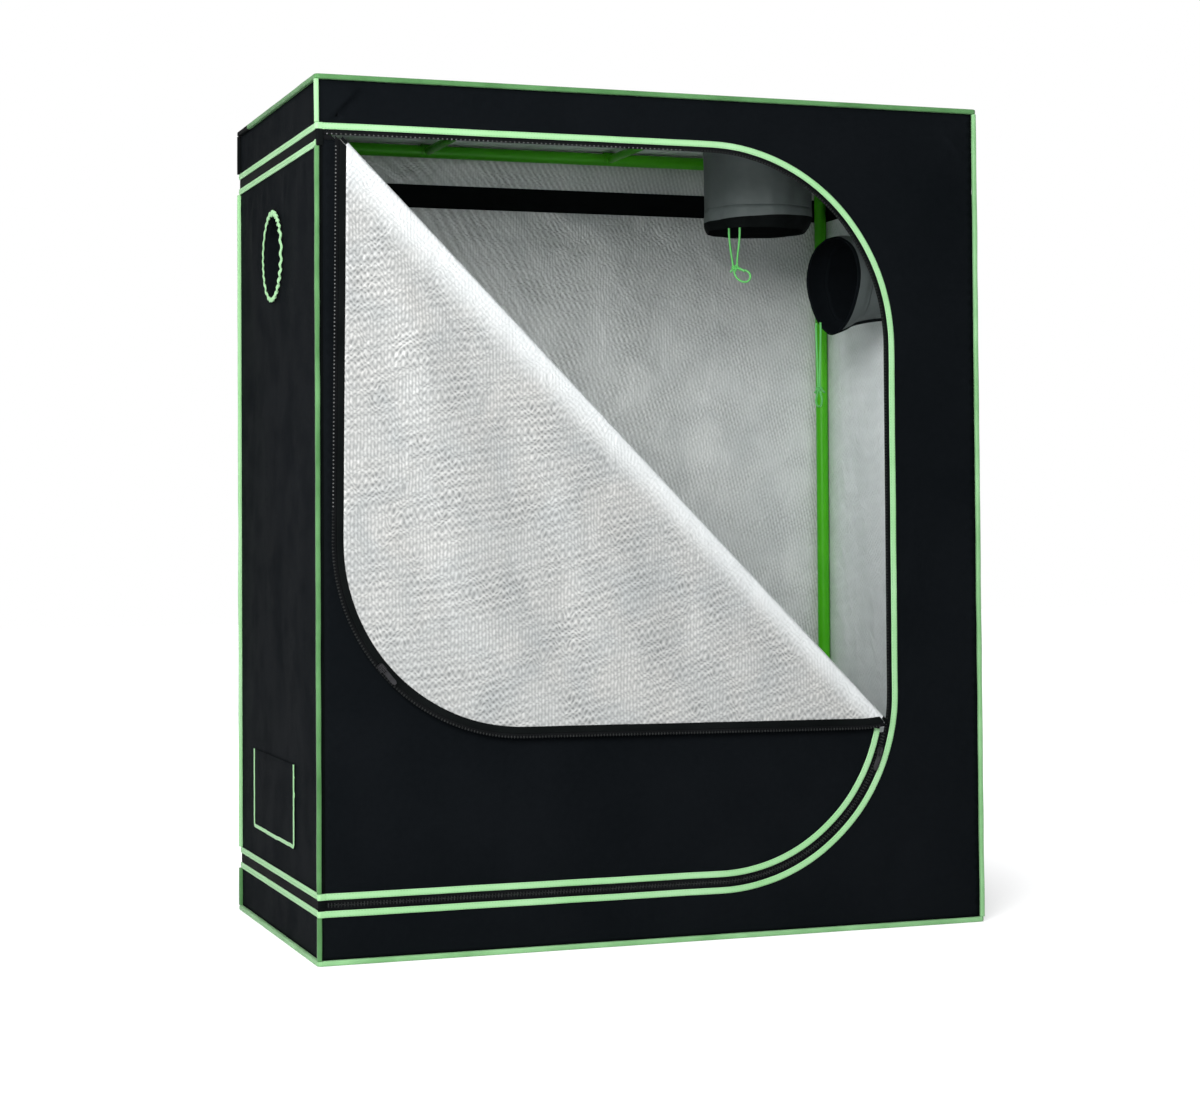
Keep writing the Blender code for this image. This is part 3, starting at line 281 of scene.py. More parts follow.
def place_group(tree, group, **values):
    made = tree.nodes.new("ShaderNodeGroup")
    made.node_tree = group
    for key, value in values.items():
        made.inputs[key].default_value = value
    return made


def new_material(name, roughness, metallic=0.0, specular=0.5):
    made = bpy.data.materials.new(name)
    made.use_nodes = True
    shader = made.node_tree.nodes["Principled BSDF"]
    shader.inputs["Roughness"].default_value = roughness
    shader.inputs["Metallic"].default_value = metallic
    shader.inputs["Specular IOR Level"].default_value = specular
    return made, made.node_tree, shader


def mix_colours(tree, share, first, second):
    made = tree.nodes.new("ShaderNodeMix")
    made.data_type = "RGBA"
    for socket, value in ((made.inputs[6], first), (made.inputs[7], second)):
        if isinstance(value, bpy.types.NodeSocket):
            tree.links.new(value, socket)
        else:
            socket.default_value = (*value, 1)
    tree.links.new(share, made.inputs[0])
    return made.outputs[2]


def spread(tree, value, least, most):
    """Stretches a value from 0..1 to least..most."""
    return maths(tree, "MULTIPLY_ADD", value, most - least, least)


def relief(tree, shader, height, distance, strength=1.0, under=None):
    bump = node(tree, "ShaderNodeBump", {"Height": height, "Distance": distance, "Strength": strength})
    if under is not None:
        tree.links.new(under, bump.inputs["Normal"])
    tree.links.new(bump.outputs[0], shader.inputs["Normal"])
    return bump.outputs[0]


# %% [markdown]
# The cover is navy black oxford cloth with a thin coat. It has almost no gloss: even a little would
# mirror the white studio where the left wall is seen at a slant, and turn it grey.

# %% Black oxford cloth


def oxford_cloth():
    made, tree, shader = new_material("black oxford cloth", 0.6, specular=0.003)
    weave = place_group(tree, WEAVE, Pitch=0.0011)
    cloud = place_group(tree, CLOUDS, Scale=3.0)
    dust = place_group(tree, CLOUDS, Scale=14.0, Low=0.45, High=0.8)
    base = mix_colours(tree, cloud.outputs[0], (0.0030, 0.0042, 0.0052), (0.0055, 0.0069, 0.0084))
    # Painted highlight: the raised threads, with some random tone, are mixed towards a lighter navy.
    lit = mix_colours(tree, maths(tree, "MULTIPLY", weave.outputs["Shade"], 0.30), base, (0.0125, 0.0145, 0.0170))
    tree.links.new(lit, shader.inputs["Base Color"])
    tree.links.new(spread(tree, dust.outputs[0], 0.55, 0.72), shader.inputs["Roughness"])
    creases = object_noise(tree, Scale=7.0, Detail=5.0, Distortion=0.5)
    soft = relief(tree, shader, creases, 0.012, 0.5)
    relief(tree, shader, weave.outputs["Height"], 0.0003, 0.8, soft)
    return made


CLOTH_BLACK = oxford_cloth()
print("made", CLOTH_BLACK.name)

# %% [markdown]
# The lining is the brightest thing in the picture. Real film is a thin metal coat, but it is pressed
# and crumpled so finely that it looks like grey satin: partly metal, fairly rough, with a fine lattice.

# %% Silver lining


def silver_lining(name, cell, arcs, light, shade, dark, contrast):
    """Lining with cells of (Width, Height, Turn) and arcs of (share, Spacing, Slant, Fan, Curl)."""
    made, tree, shader = new_material(name, 0.42, metallic=0.2, specular=0.4)
    sizes = dict(zip(("Width", "Height", "Turn", "Spacing", "Slant", "Fan", "Curl"), cell + arcs[1:]))
    diamonds = place_group(tree, DIAMONDS, **sizes)
    smooth_highlight_mask = node(tree, "ShaderNodeAttribute", attribute_name="smoothed_and_highlit").outputs["Fac"]
    rough = maths(tree, "SUBTRACT", 1.0, smooth_highlight_mask)
    banded = mix_colours(tree, spread(tree, diamonds.outputs["Bands"], -0.5, 1.5), shade, light)
    shown = maths(tree, "MULTIPLY", diamonds.outputs["Arcs"], maths(tree, "MULTIPLY", rough, arcs[0]))
    arced = mix_colours(tree, shown, banded, dark)
    # Painted shade: the dents of the emboss are darkened towards the dark colour, as the shade in their hollows.
    valley_shade = maths(tree, "MULTIPLY", maths(tree, "SUBTRACT", 1.0, diamonds.outputs["Shade"]), rough)
    pressed = mix_colours(tree, maths(tree, "MULTIPLY", valley_shade, contrast), arced, dark)
    # Painted highlight: beside the fold the dents are left out and the colour is lifted towards a pale grey, for the
    # light that the fold catches.
    bright = mix_colours(tree, maths(tree, "MULTIPLY", smooth_highlight_mask, 0.93), pressed, FOLD_HIGHLIGHT)
    tree.links.new(bright, shader.inputs["Base Color"])
    tree.links.new(spread(tree, diamonds.outputs["Bands"], 0.36, 0.52), shader.inputs["Roughness"])
    crumple = object_noise(tree, Scale=16.0, Detail=6.0, Distortion=0.8)
    soft = relief(tree, shader, crumple, 0.010, 0.45)
    relief(tree, shader, diamonds.outputs["Height"], 0.0009, 0.8, soft)
    return made


# The pale grey of the painted highlight along the fold.
FOLD_HIGHLIGHT = (0.71, 0.74, 0.745)
CELL = (0.0120, 0.0115)
TURNED_BY_FOLD = -2 * math.atan2(FOLD_ALONG.y, FOLD_ALONG.x)
# Painted light and shade: one silver film in three copies whose colours differ with the light each part gets. The
# door's copy is darker, the back's is in between, and the copy for the sides and the roof is lighter.
LINING_PAINTED_DARKER = silver_lining(
    "silver lining of the door, painted darker", (*CELL, TURNED_BY_FOLD), (0.26, 0.0165, 0.46, 0.12, 2.6),
    (0.645, 0.64, 0.62), (0.535, 0.555, 0.555), (0.12, 0.13, 0.13), 0.95,
)
WALL_LINING = silver_lining(
    "silver lining of the back", (*CELL, 0.0), (0.34, 0.030, 2.3, 2.2, 3.0),
    (0.80, 0.825, 0.81), (0.66, 0.69, 0.685), (0.22, 0.23, 0.225), 0.40,
)
LINING_PAINTED_LIGHTER = silver_lining(
    "silver lining of the sides, painted lighter", (*CELL, 0.0), (0.05, 0.030, 0.2, 0.0, 6.0),
    (0.86, 0.90, 0.91), (0.74, 0.785, 0.795), (0.30, 0.32, 0.32), 0.2,
)
print("made", LINING_PAINTED_DARKER.name, "and", WALL_LINING.name, "and", LINING_PAINTED_LIGHTER.name)

# %% [markdown]
# Binding tape, zip tape, cord, painted tube, moulded plastic and dark metal are simpler. Each still has
# its own relief and a little change of colour, so that none of them looks like a flat swatch.

# %% Tapes and thread


def ribbed_tape(name, dark, pale, pitch, roughness, specular=0.3, sheen=0.1):
    made, tree, shader = new_material(name, roughness, specular=specular)
    ribs = place_group(tree, RIBS, Pitch=pitch)
    cloud = place_group(tree, CLOUDS, Scale=9.0)
    base = mix_colours(tree, cloud.outputs[0], dark, pale)
    # Painted shade: the valleys between the ribs are darkened towards a deeper tone of the tape.
    valley_shade = mix_colours(tree, spread(tree, ribs.outputs[0], 0.30, 0.0), base, tuple(0.45 * x for x in dark))
    tree.links.new(valley_shade, shader.inputs["Base Color"])
    tree.links.new(spread(tree, cloud.outputs[0], roughness - 0.07, roughness + 0.07), shader.inputs["Roughness"])
    shader.inputs["Sheen Weight"].default_value = sheen
    relief(tree, shader, ribs.outputs[0], 0.0004, 0.8)
    return made


BINDING = ribbed_tape("green binding tape", (0.35, 0.72, 0.32), (0.46, 0.80, 0.44), 0.0016, 0.5)
# The edge and foot bindings are the same green tape, copied darker as painted shade and lighter as painted light.
EDGE_GREEN_PAINTED_DARKER = ribbed_tape("green edge binding, painted darker", (0.062, 0.195, 0.057), (0.155, 0.38, 0.145), 0.0016, 0.5, 0.1)
FOOT_GREEN_PAINTED_LIGHTER = ribbed_tape("green foot binding, painted lighter", (0.19, 0.45, 0.175), (0.35, 0.68, 0.33), 0.0016, 0.5, 0.2)
BAND_BLACK = ribbed_tape("black webbing", (0.0036, 0.0046, 0.0046), (0.0075, 0.0090, 0.0092), 0.0018, 0.6, 0.01, 0.0)
ZIP_TAPE = ribbed_tape("black zip tape", (0.0030, 0.0036, 0.0040), (0.0075, 0.0082, 0.0090), 0.0012, 0.55, 0.03, 0.0)
THREAD = ribbed_tape("green thread", (0.17, 0.50, 0.18), (0.27, 0.70, 0.27), 0.0009, 0.55)
CORD_GREEN = ribbed_tape("green cord", (0.09, 0.44, 0.10), (0.16, 0.60, 0.16), 0.0022, 0.5)
print("made seven tapes and threads")

# %% Paint, plastic, metal, coil and net


def plain_finish(name, dark, pale, roughness, metallic, scale, bevel=0.0, bump=0.0, specular=0.5):
    """A hard finish: two close colours in clouds, a rounded edge, and a fine grain in the gloss."""
    made, tree, shader = new_material(name, roughness, metallic, specular)
    cloud = place_group(tree, CLOUDS, Scale=scale)
    fine = place_group(tree, CLOUDS, Scale=scale * 12, Low=0.35, High=0.65)
    tree.links.new(mix_colours(tree, cloud.outputs[0], dark, pale), shader.inputs["Base Color"])
    rough = spread(tree, fine.outputs[0], max(0.05, roughness - 0.08), roughness + 0.1)
    tree.links.new(rough, shader.inputs["Roughness"])
    rounded = node(tree, "ShaderNodeBevel", {"Radius": bevel}, samples=6).outputs[0] if bevel else None
    relief(tree, shader, fine.outputs[0], bump, 0.6, rounded)
    return made


TUBE_PAINT = plain_finish(
    "green powder paint", (0.040, 0.33, 0.004), (0.068, 0.43, 0.008), 0.36, 0.0, 5.0, 0.0008, 0.0002, 0.22,
)
PLASTIC = plain_finish(
    "black moulded plastic", (0.010, 0.010, 0.011), (0.022, 0.022, 0.024), 0.45, 0.0, 20.0, 0.0012, 0.0002,
)
METAL = plain_finish(
    "dark zip metal", (0.012, 0.012, 0.013), (0.036, 0.036, 0.039), 0.38, 0.85, 60.0, 0.0005, 0.0001,
)
# The lighter coil is the black nylon coil painted light grey, so that its teeth show as bright dots: painted
# highlights.
COIL_PAINTED_LIGHTER = plain_finish("nylon zip coil, painted lighter", (0.05, 0.053, 0.053), (0.20, 0.205, 0.205), 0.3, 0.0, 80.0, 0.0, 0.0001)
DARK_COIL = plain_finish(
    "black zip coil", (0.008, 0.009, 0.009), (0.030, 0.032, 0.032), 0.4, 0.0, 80.0, 0.0, 0.0001, 0.1,
)
NET = ribbed_tape("black net", (0.006, 0.006, 0.006), (0.02, 0.02, 0.02), 0.0024, 0.7)
print("made paint, plastic, metal, coil and net")

# %% [markdown]
# The duct sleeves are grey on the outside, of a smoother cloth than the cover. A faint weave and soft
# clouds are enough, because their gathered folds do the rest.

# %% Duct cloth


def duct_cloth():
    made, tree, shader = new_material("grey duct cloth", 0.5, specular=0.2)
    weave = place_group(tree, WEAVE, Pitch=0.0009)
    cloud = place_group(tree, CLOUDS, Scale=6.0)
    base = mix_colours(tree, cloud.outputs[0], (0.070, 0.086, 0.084), (0.108, 0.128, 0.126))
    # Painted highlight: the raised threads, with some random tone, are mixed towards a lighter grey.
    lit = mix_colours(tree, maths(tree, "MULTIPLY", weave.outputs["Shade"], 0.25), base, (0.19, 0.21, 0.21))
    tree.links.new(lit, shader.inputs["Base Color"])
    tree.links.new(spread(tree, cloud.outputs[0], 0.42, 0.58), shader.inputs["Roughness"])
    relief(tree, shader, weave.outputs["Height"], 0.0002, 0.6)
    return made


DUCT_CLOTH = duct_cloth()
print("made", DUCT_CLOTH.name)

# %% [markdown]
# Most of the tent is made of three kinds of shape: a sheet cut to an outline, a ribbon laid along a
# path, and a tube of cloth. `Shape` gathers points and faces of the last two and keeps a UV map in
# metres along each path, which the ribs need. One shape may hold several ribbons.

# %% A shape that collects swept rings


class Shape:
    def __init__(self):
        self.points, self.faces, self.uvs, self.slots = [], [], [], []

    def sweep(self, rings, closed=False, caps=True, slot=0, round_ring=True):
        """Joins rings of points that follow a path. UV runs along the path and round the ring."""
        base, count = len(self.points), len(rings[0])
        self.points += [Vector(point) for ring in rings for point in ring]
        middles = [sum((Vector(p) for p in ring), Vector()) / count for ring in rings]
        along = [0.0]
        for k in range(1, len(rings) + (1 if closed else 0)):
            along.append(along[-1] + (middles[k % len(rings)] - middles[k - 1]).length)
        round_it = [0.0]
        for k in range(1, count + 1):
            round_it.append(round_it[-1] + (Vector(rings[0][k % count]) - Vector(rings[0][k - 1])).length)
        for i in range(len(rings) if closed else len(rings) - 1):
            a, b = base + i * count, base + (i + 1) % len(rings) * count
            for k in range(count if round_ring else count - 1):
                n = (k + 1) % count
                self.faces.append((a + k, a + n, b + n, b + k))
                u, v = (along[i], along[i + 1]), (round_it[k], round_it[k + 1])
                self.uvs.append([(u[0], v[0]), (u[0], v[1]), (u[1], v[1]), (u[1], v[0])])
                self.slots.append(slot)
        if caps and not closed:
            last = base + (len(rings) - 1) * count
            for cap in (tuple(range(base, base + count)), tuple(range(last + count - 1, last - 1, -1))):
                self.faces.append(cap)
                self.uvs.append([(0.0, 0.0)] * count)
                self.slots.append(slot)
        return self

    def make(self, name, materials, smooth_angle=40):
        return mesh_piece(name, self.points, self.faces, self.uvs, materials, self.slots, smooth_angle)


def mesh_piece(name, points, faces, uvs, materials, slots=None, smooth_angle=None):
    mesh = bpy.data.meshes.new(name)
    mesh.from_pydata([tuple(point) for point in points], [], faces)
    layer = mesh.uv_layers.new(name="metres")
    layer.data.foreach_set("uv", [x for face in uvs for corner in face for x in corner])
    for used in materials:
        mesh.materials.append(used)
    if slots is not None:
        mesh.polygons.foreach_set("material_index", slots)
    mesh.shade_smooth()
    made = bpy.data.objects.new(name, mesh)
    bpy.context.scene.collection.objects.link(made)
    if smooth_angle is not None:
        face_outwards(made)
        mesh.set_sharp_from_angle(angle=math.radians(smooth_angle))
    return made


def face_outwards(piece):
    """Turns the faces of a closed shape outwards."""
    shape = bmesh.new()
    shape.from_mesh(piece.data)
    bmesh.ops.recalc_face_normals(shape, faces=shape.faces)
    shape.to_mesh(piece.data)
    shape.free()


def dress(piece, body, slot, *nodes):
    """Puts a piece on its body and lets it stand for its solids."""
    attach(piece, body)
    if nodes:
        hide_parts(*nodes)
    return piece


# %% [markdown]
# The two drawstrings are thin limp cords. Each leaves the collar of a duct sleeve as two strands, which
# come together in a knot above a small loop. The route repeats the points of the solid, and the tube
# that follows it gets the twist of a braided cord from its ribs.

# %% Drawstrings

ROOF_CORD_ROUTE = [
    (-0.0115, 0.0000), (-0.0110, 0.0160), (-0.0092, 0.0340), (-0.0066, 0.0520), (-0.0038, 0.0680),
    (-0.0016, 0.0800), (0.0010, 0.0900), (0.0075, 0.0985), (0.0170, 0.1035), (0.0265, 0.1035),
    (0.0325, 0.0975), (0.0315, 0.0885), (0.0245, 0.0830), (0.0165, 0.0815), (0.0095, 0.0790),
    (0.0055, 0.0715), (0.0066, 0.0520), (0.0092, 0.0340), (0.0110, 0.0160), (0.0115, 0.0000),
]
RIGHT_CORD_ROUTE = [
    (-0.0070, 0.0000), (-0.0075, 0.0140), (-0.0063, 0.0400), (-0.0048, 0.0720), (-0.0036, 0.1020),
    (-0.0029, 0.1300), (-0.0056, 0.1395), (-0.0086, 0.1475), (-0.0096, 0.1550), (-0.0064, 0.1620),
    (0.0000, 0.1648), (0.0064, 0.1620), (0.0096, 0.1550), (0.0086, 0.1475), (0.0056, 0.1395),
    (0.0029, 0.1300), (0.0036, 0.1020), (0.0048, 0.0720), (0.0063, 0.0400), (0.0075, 0.0140),
    (0.0070, 0.0000),
]
ROOF_KNOT, RIGHT_KNOT = (0.0015, 0.0765), (0.0, 0.130)
CORD_RADIUS = 0.002


def round_turns(count):
    """Angles evenly round a circle."""
    return [2 * math.pi * k / count for k in range(count)]


def soft_curve(anchors, steps):
    """Points along a soft curve through the anchors."""
    ends = [anchors[0] * 2 - anchors[1]] + anchors + [anchors[-1] * 2 - anchors[-2]]
    points = []
    for i in range(1, len(ends) - 2):
        a, b, c, d = ends[i - 1 : i + 3]
        for k in range(steps):
            t = k / steps
            bend = b * 2 + (c - a) * t + (a * 2 - b * 5 + c * 4 - d) * t * t
            points.append((bend + (b * 3 - a - c * 3 + d) * t * t * t) / 2)
    return points + [anchors[-1]]


def round_rings(path, radius, sides):
    """Rings round a path, kept from twisting."""
    rings = []
    side = None
    for k, point in enumerate(path):
        ahead = (path[min(k + 1, len(path) - 1)] - path[max(k - 1, 0)]).normalized()
        side = ahead.orthogonal() if side is None else side - ahead * side.dot(ahead)
        side.normalize()
        across = ahead.cross(side)
        reach = radius(k / (len(path) - 1)) if callable(radius) else radius
        rings.append([point + reach * (math.cos(t) * side + math.sin(t) * across) for t in round_turns(sides)])
    return rings


def drawstring(name, node_name, start, side, route, knot_spot):
    path = soft_curve([start + side * a + Vector((0, 0, -b)) for a, b in route], 8)
    cord = Shape().sweep(round_rings(path, CORD_RADIUS, 14)).make(name, [CORD_GREEN])
    knot = knot_piece(name + "_knot", start + side * knot_spot[0] - Vector((0, 0, knot_spot[1])), side)
    dress(cord, "tent", "binding_green", node_name)
    dress(knot, "tent", "binding_green")
    tuple(path[0])
    [tuple(p) for p in path]
    return cord


def knot_piece(name, middle, side):
    """An overhand knot drawn tight: a short trefoil of cord, with two free tails."""
    front = side.cross(Vector((0, 0, 1)))
    path = []
    for k in range(61):
        t = 2 * math.pi * k / 60
        x = math.sin(t) + 2 * math.sin(2 * t)
        z = math.cos(t) - 2 * math.cos(2 * t)
        y = -math.sin(3 * t)
        path.append(middle + 0.0021 * (side * x + Vector((0, 0, z * 0.9)) + front * y * 1.3))
    shape = Shape().sweep(round_rings(path[:-1], CORD_RADIUS * 0.95, 10), closed=True)
    for lean, reach in ((1.0, 0.021), (-0.7, 0.013)):
        tail = []
        for t in (0, 0.3, 0.6, 0.85, 1):
            tail.append(middle + side * lean * reach * t + Vector((0, 0, -0.008 * t * t)) + front * 0.003 * t)
        shape.sweep(round_rings(soft_curve(tail, 4), lambda t: CORD_RADIUS * (0.95 if t < 0.9 else 1.15), 10))
    return shape.make(name, [CORD_GREEN])


collar = (low("roof_sleeve_collar"), high("roof_sleeve_collar"))
ROOF_MIDDLE = (collar[0] + collar[1]) / 2
ROOF_RADIUS = 0.1065
ROOF_CORD_TURN = math.radians(222)
SLEEVE_FOLDS = 8
dip = 0.005 * (1 - math.cos(SLEEVE_FOLDS * ROOF_CORD_TURN)) / 2
cord_side = Vector((math.cos(ROOF_CORD_TURN), math.sin(ROOF_CORD_TURN), 0))
roof_start = Vector((ROOF_MIDDLE.x, 0, collar[0].z - 2 * GAP)) + cord_side * (ROOF_RADIUS - dip)
roof_side = Vector((-cord_side.y, cord_side.x, 0))
drawstring("roof_cord", "roof_drawstring", roof_start, roof_side, ROOF_CORD_ROUTE, ROOF_KNOT)
MOUTH_TURN = math.radians(13)
RIGHT_RADIUS, RIGHT_SLEEVE, RIGHT_COLLAR = 0.085, 0.105, 0.038
RIGHT_LENGTH = RIGHT_SLEEVE + GAP + RIGHT_COLLAR
RIGHT_PORT_Z = 0.812 * TOP


def right_sleeve_place(share):
    """Middle, across and along directions of the right sleeve at a share of its way in from the wall."""
    turn = MOUTH_TURN * share
    along = Vector((-math.cos(turn), -math.sin(turn), 0))
    far = share * RIGHT_LENGTH
    centre = Vector((WALL_X + CLOTH - far, -far * math.tan(turn) / 2, RIGHT_PORT_Z - 0.012 * share * share))
    return centre, Vector((-along.y, along.x, 0)), along


mouth, mouth_across, mouth_along = right_sleeve_place(1)
right_start = mouth + mouth_along * (GAP + CORD_RADIUS) - mouth_across * 0.042
right_start.z -= RIGHT_RADIUS + 0.0015 - CLOTH - 0.006
drawstring("right_cord", "right_drawstring", right_start, mouth_across, RIGHT_CORD_ROUTE, RIGHT_KNOT)

# %% [markdown]
# A sheet of cloth is cut as a flat outline. Constrained Delaunay triangles fill it between a lattice of
# inner points, which lets the cloth sway where it is free while its sewn edges stay put. Solidify gives
# it two faces, so that one sheet shows black cloth outside and silver film inside.

# %% Cut and hang a sheet


def dense(loop, step, closed=True):
    """The same points with none more than a step apart. A closed loop also joins its last point to its first."""
    points = []
    for k in range(0 if closed else 1, len(loop)):
        a, b = loop[k - 1], loop[k]
        count = max(1, math.ceil((b - a).length / step))
        points += [a.lerp(b, n / count) for n in range(count)]
    return points if closed else points + [loop[-1]]


def distance_to(points, loops):
    """How far each flat point lies from the nearest side of the loops."""
    best = np.full(len(points), 9.0)
    for loop in loops:
        for k in range(len(loop)):
            a, b = np.array(loop[k - 1]), np.array(loop[k])
            side = b - a
            share = np.clip(((points - a) @ side) / max(side @ side, 1e-12), 0, 1)
            best = np.minimum(best, np.hypot(*(points - a - share[:, None] * side).T))
    return best


def inside(points, loop):
    within = np.zeros(len(points), bool)
    for k in range(len(loop)):
        a, b = loop[k - 1], loop[k]
        if a.y == b.y:
            continue
        crosses = (a.y > points[:, 1]) != (b.y > points[:, 1])
        within ^= crosses & (points[:, 0] < a.x + (points[:, 1] - a.y) * (b.x - a.x) / (b.y - a.y))
    return within


def cut_cloth(loops, step, extra=()):
    """Triangles that fill the first loop and leave out the others. Returns flat points and triangles."""
    rough = loops
    loops = [dense(loop, step) for loop in loops]
    spots = np.array([tuple(point) for point in loops[0]])
    (x0, y0), (x1, y1) = spots.min(0), spots.max(0)
    rows = []
    for n, y in enumerate(np.arange(y0 + step * 0.6, y1, step * 0.866)):
        rows += [(x, y) for x in np.arange(x0 + step * (0.5 + 0.5 * (n % 2)), x1, step)]
    lattice = np.array(rows)
    keep = inside(lattice, rough[0])
    for hole in rough[1:]:
        keep &= ~inside(lattice, hole)
    keep &= distance_to(lattice, rough) > step * 0.45
    edges, total = [], 0
    for loop in loops:
        edges += [(total + k, total + (k + 1) % len(loop)) for k in range(len(loop))]
        total += len(loop)
    given = [point for loop in loops for point in loop] + [Vector(point) for point in lattice[keep]] + list(extra)
    points, _, triangles, _, _, _ = delaunay_2d_cdt(given, edges, [], 1, 1e-7)
    flat = np.array([tuple(point) for point in points])
    middles = np.array([flat[list(t)].mean(0) for t in triangles])
    free = np.ones(len(triangles), bool)
    for hole in rough[1:]:
        free &= ~inside(middles, hole)
    return flat, [tuple(t) for t, shown in zip(triangles, free) if shown]


def sway(flat, length, depth, seed, stretch=(1, 1)):
    """Soft uneven waves over flat points, from -depth to depth."""
    found = [noise.noise(Vector((x * stretch[0] / length, y * stretch[1] / length, seed))) for x, y in flat]
    return depth * 1.6 * np.array(found)


def rise(distance, start, end):
    """0 up to start, 1 beyond end, and smooth between them."""
    t = np.clip((distance - start) / (end - start), 0, 1)
    return t * t * (3 - 2 * t)


def hang(name, flat, triangles, place, outward, materials, thickness=None):
    """Makes a sheet from flat points that place() sets in space. materials are its outer and inner side."""
    points = place(flat)
    a, b, c = (Vector(points[i]) for i in triangles[0])
    if (b - a).cross(c - a).dot(Vector(outward)) < 0:
        triangles = [t[::-1] for t in triangles]
    uvs = [[tuple(flat[i]) for i in t] for t in triangles]
    made = mesh_piece(name, points, triangles, uvs, materials)
    thicken(made, CLOTH if thickness is None else thickness)
    return made


def thicken(piece, thickness, rim_slot=0):
    solid = piece.modifiers.new("thickness", "SOLIDIFY")
    solid.thickness = thickness
    solid.offset = 0
    solid.material_offset = 1 if len(piece.data.materials) > 1 else 0
    solid.material_offset_rim = rim_slot
    solid.use_even_offset = True
    bpy.context.view_layer.update()
    mesh = bpy.data.meshes.new_from_object(piece.evaluated_get(bpy.context.evaluated_depsgraph_get()))
    piece.modifiers.clear()
    piece.data = mesh
    mesh.name = piece.name


def flat_area(loops):
    """Area of the first loop without the others."""
    areas = [abs(sum(l[k - 1].x * l[k].y - l[k].x * l[k - 1].y for k in range(len(l)))) / 2 for l in loops]
    return areas[0] - sum(areas[1:])


def declare(piece, loops):
    xs, ys = [p.x for p in loops[0]], [p.y for p in loops[0]]
    size = (max(xs) - min(xs), max(ys) - min(ys))
    flat_area(loops)
    print(piece.name, "cut", [round(x, 3) for x in size], "area", round(flat_area(loops), 3))


def rectangle(x0, y0, x1, y1):
    return [Vector((x0, y0)), Vector((x1, y0)), Vector((x1, y1)), Vector((x0, y1))]


def round_hole(x, y, radius):
    return [Vector((x + radius * math.cos(t), y + radius * math.sin(t))) for t in round_turns(96)]


# %% [markdown]
# The walls hang between the top and bottom seams and are drawn tight over the frame, so they show long
# soft upright waves, a few millimetres deep, and no more. Near the posts and under the bands the cloth is
# held, so the waves die out there.

# %% Walls, roof and floor

STEP = 0.012
PORT_LEFT, PORT_RADIUS = (low("left_port_sleeve") + high("left_port_sleeve")) / 2, 0.079
VENT_LOW, VENT_HIGH = low("vent_net"), high("vent_net")
VENT_LAP = 0.010


def held_back(flat, loops):
    """How free the cloth of an upright wall is: 0 at its seams and bands, 1 well away from them."""
    free = rise(distance_to(flat, loops), 0.028, 0.16)
    for level in (UPPER_BAND, LOWER_BAND):
        free = free * rise(np.abs(flat[:, 1] - level), 0.026, 0.09)
    return free


def puckers(flat, seed):
    """Small upright gathers just under the inner band, whose seam draws the lining in."""
    drop = low("inner_band").z - flat[:, 1]
    fade = np.where(drop > 0, np.exp(-((drop / 0.055) ** 2)) * rise(drop, 0.0, 0.012), 0)
    return fade * (sway(flat, 0.034, 0.0022, seed, (1.0, 0.22)) + sway(flat, 0.021, 0.0010, seed + 3, (1.0, 0.4)))


def wall(name, loops, axis, level, outward, sign, seed, lining, depth=0.004):
    flat, triangles = cut_cloth(loops, STEP)
    wave = sway(flat, 0.22, 0.6, seed, (1.6, 0.45)) + sway(flat, 0.09, 0.18, seed + 5, (1.3, 0.6)) + 0.45
    bulge = sign * depth * np.clip(wave, -0.15, 1.2) * held_back(flat, loops) + puckers(flat, seed)

    def place(spots):
        points = np.zeros((len(spots), 3))
        others = [k for k in range(3) if k != axis]
        points[:, others[0]], points[:, others[1]] = spots[:, 0], spots[:, 1]
        points[:, axis] = level + bulge
        return points

    return hang(name, flat, triangles, place, outward, [CLOTH_BLACK, lining])


side = rectangle(-WALL_Y + GAP, EDGE + GAP, WALL_Y - GAP, ROOF_Z - GAP)
back = rectangle(-WALL_X + GAP, EDGE + GAP, WALL_X - GAP, ROOF_Z - GAP)
left_port = round_hole(PORT_LEFT.y, PORT_LEFT.z, PORT_RADIUS)
vent = rectangle(VENT_LOW.y + VENT_LAP, VENT_LOW.z + VENT_LAP, VENT_HIGH.y - VENT_LAP, VENT_HIGH.z - VENT_LAP)
right_port = round_hole(0, RIGHT_PORT_Z, RIGHT_RADIUS + GAP)
cuts = {
    "left_wall": ([side, left_port, vent], 0, -WALL_X - CLOTH / 2, (-1, 0, 0), -1, 3.1, LINING_PAINTED_LIGHTER),
    "right_wall": ([side, right_port], 0, WALL_X + CLOTH / 2, (1, 0, 0), 1, 7.7, LINING_PAINTED_LIGHTER),
    "back_wall": ([back], 1, WALL_Y + CLOTH / 2, (0, 1, 0), 1, 12.4, WALL_LINING),
}
for node_name, (loops, *hanging) in cuts.items():
    piece = wall(node_name + "_cloth", loops, *hanging)
    dress(piece, "tent", "cloth_black", node_name)
    declare(piece, loops)


def level_sheet(name, node_name, loops, height, up, depth, seed, lining):
    flat, triangles = cut_cloth(loops, STEP)
    sag = depth * rise(distance_to(flat, loops[:1]), 0.02, 0.2) * (0.7 + sway(flat, 0.25, 0.5, seed))

    def place(spots):
        return np.column_stack((spots, height + sag))

    piece = hang(name, flat, triangles, place, (0, 0, up), [CLOTH_BLACK, lining])
    dress(piece, "tent", "cloth_black", node_name)
    declare(piece, loops)


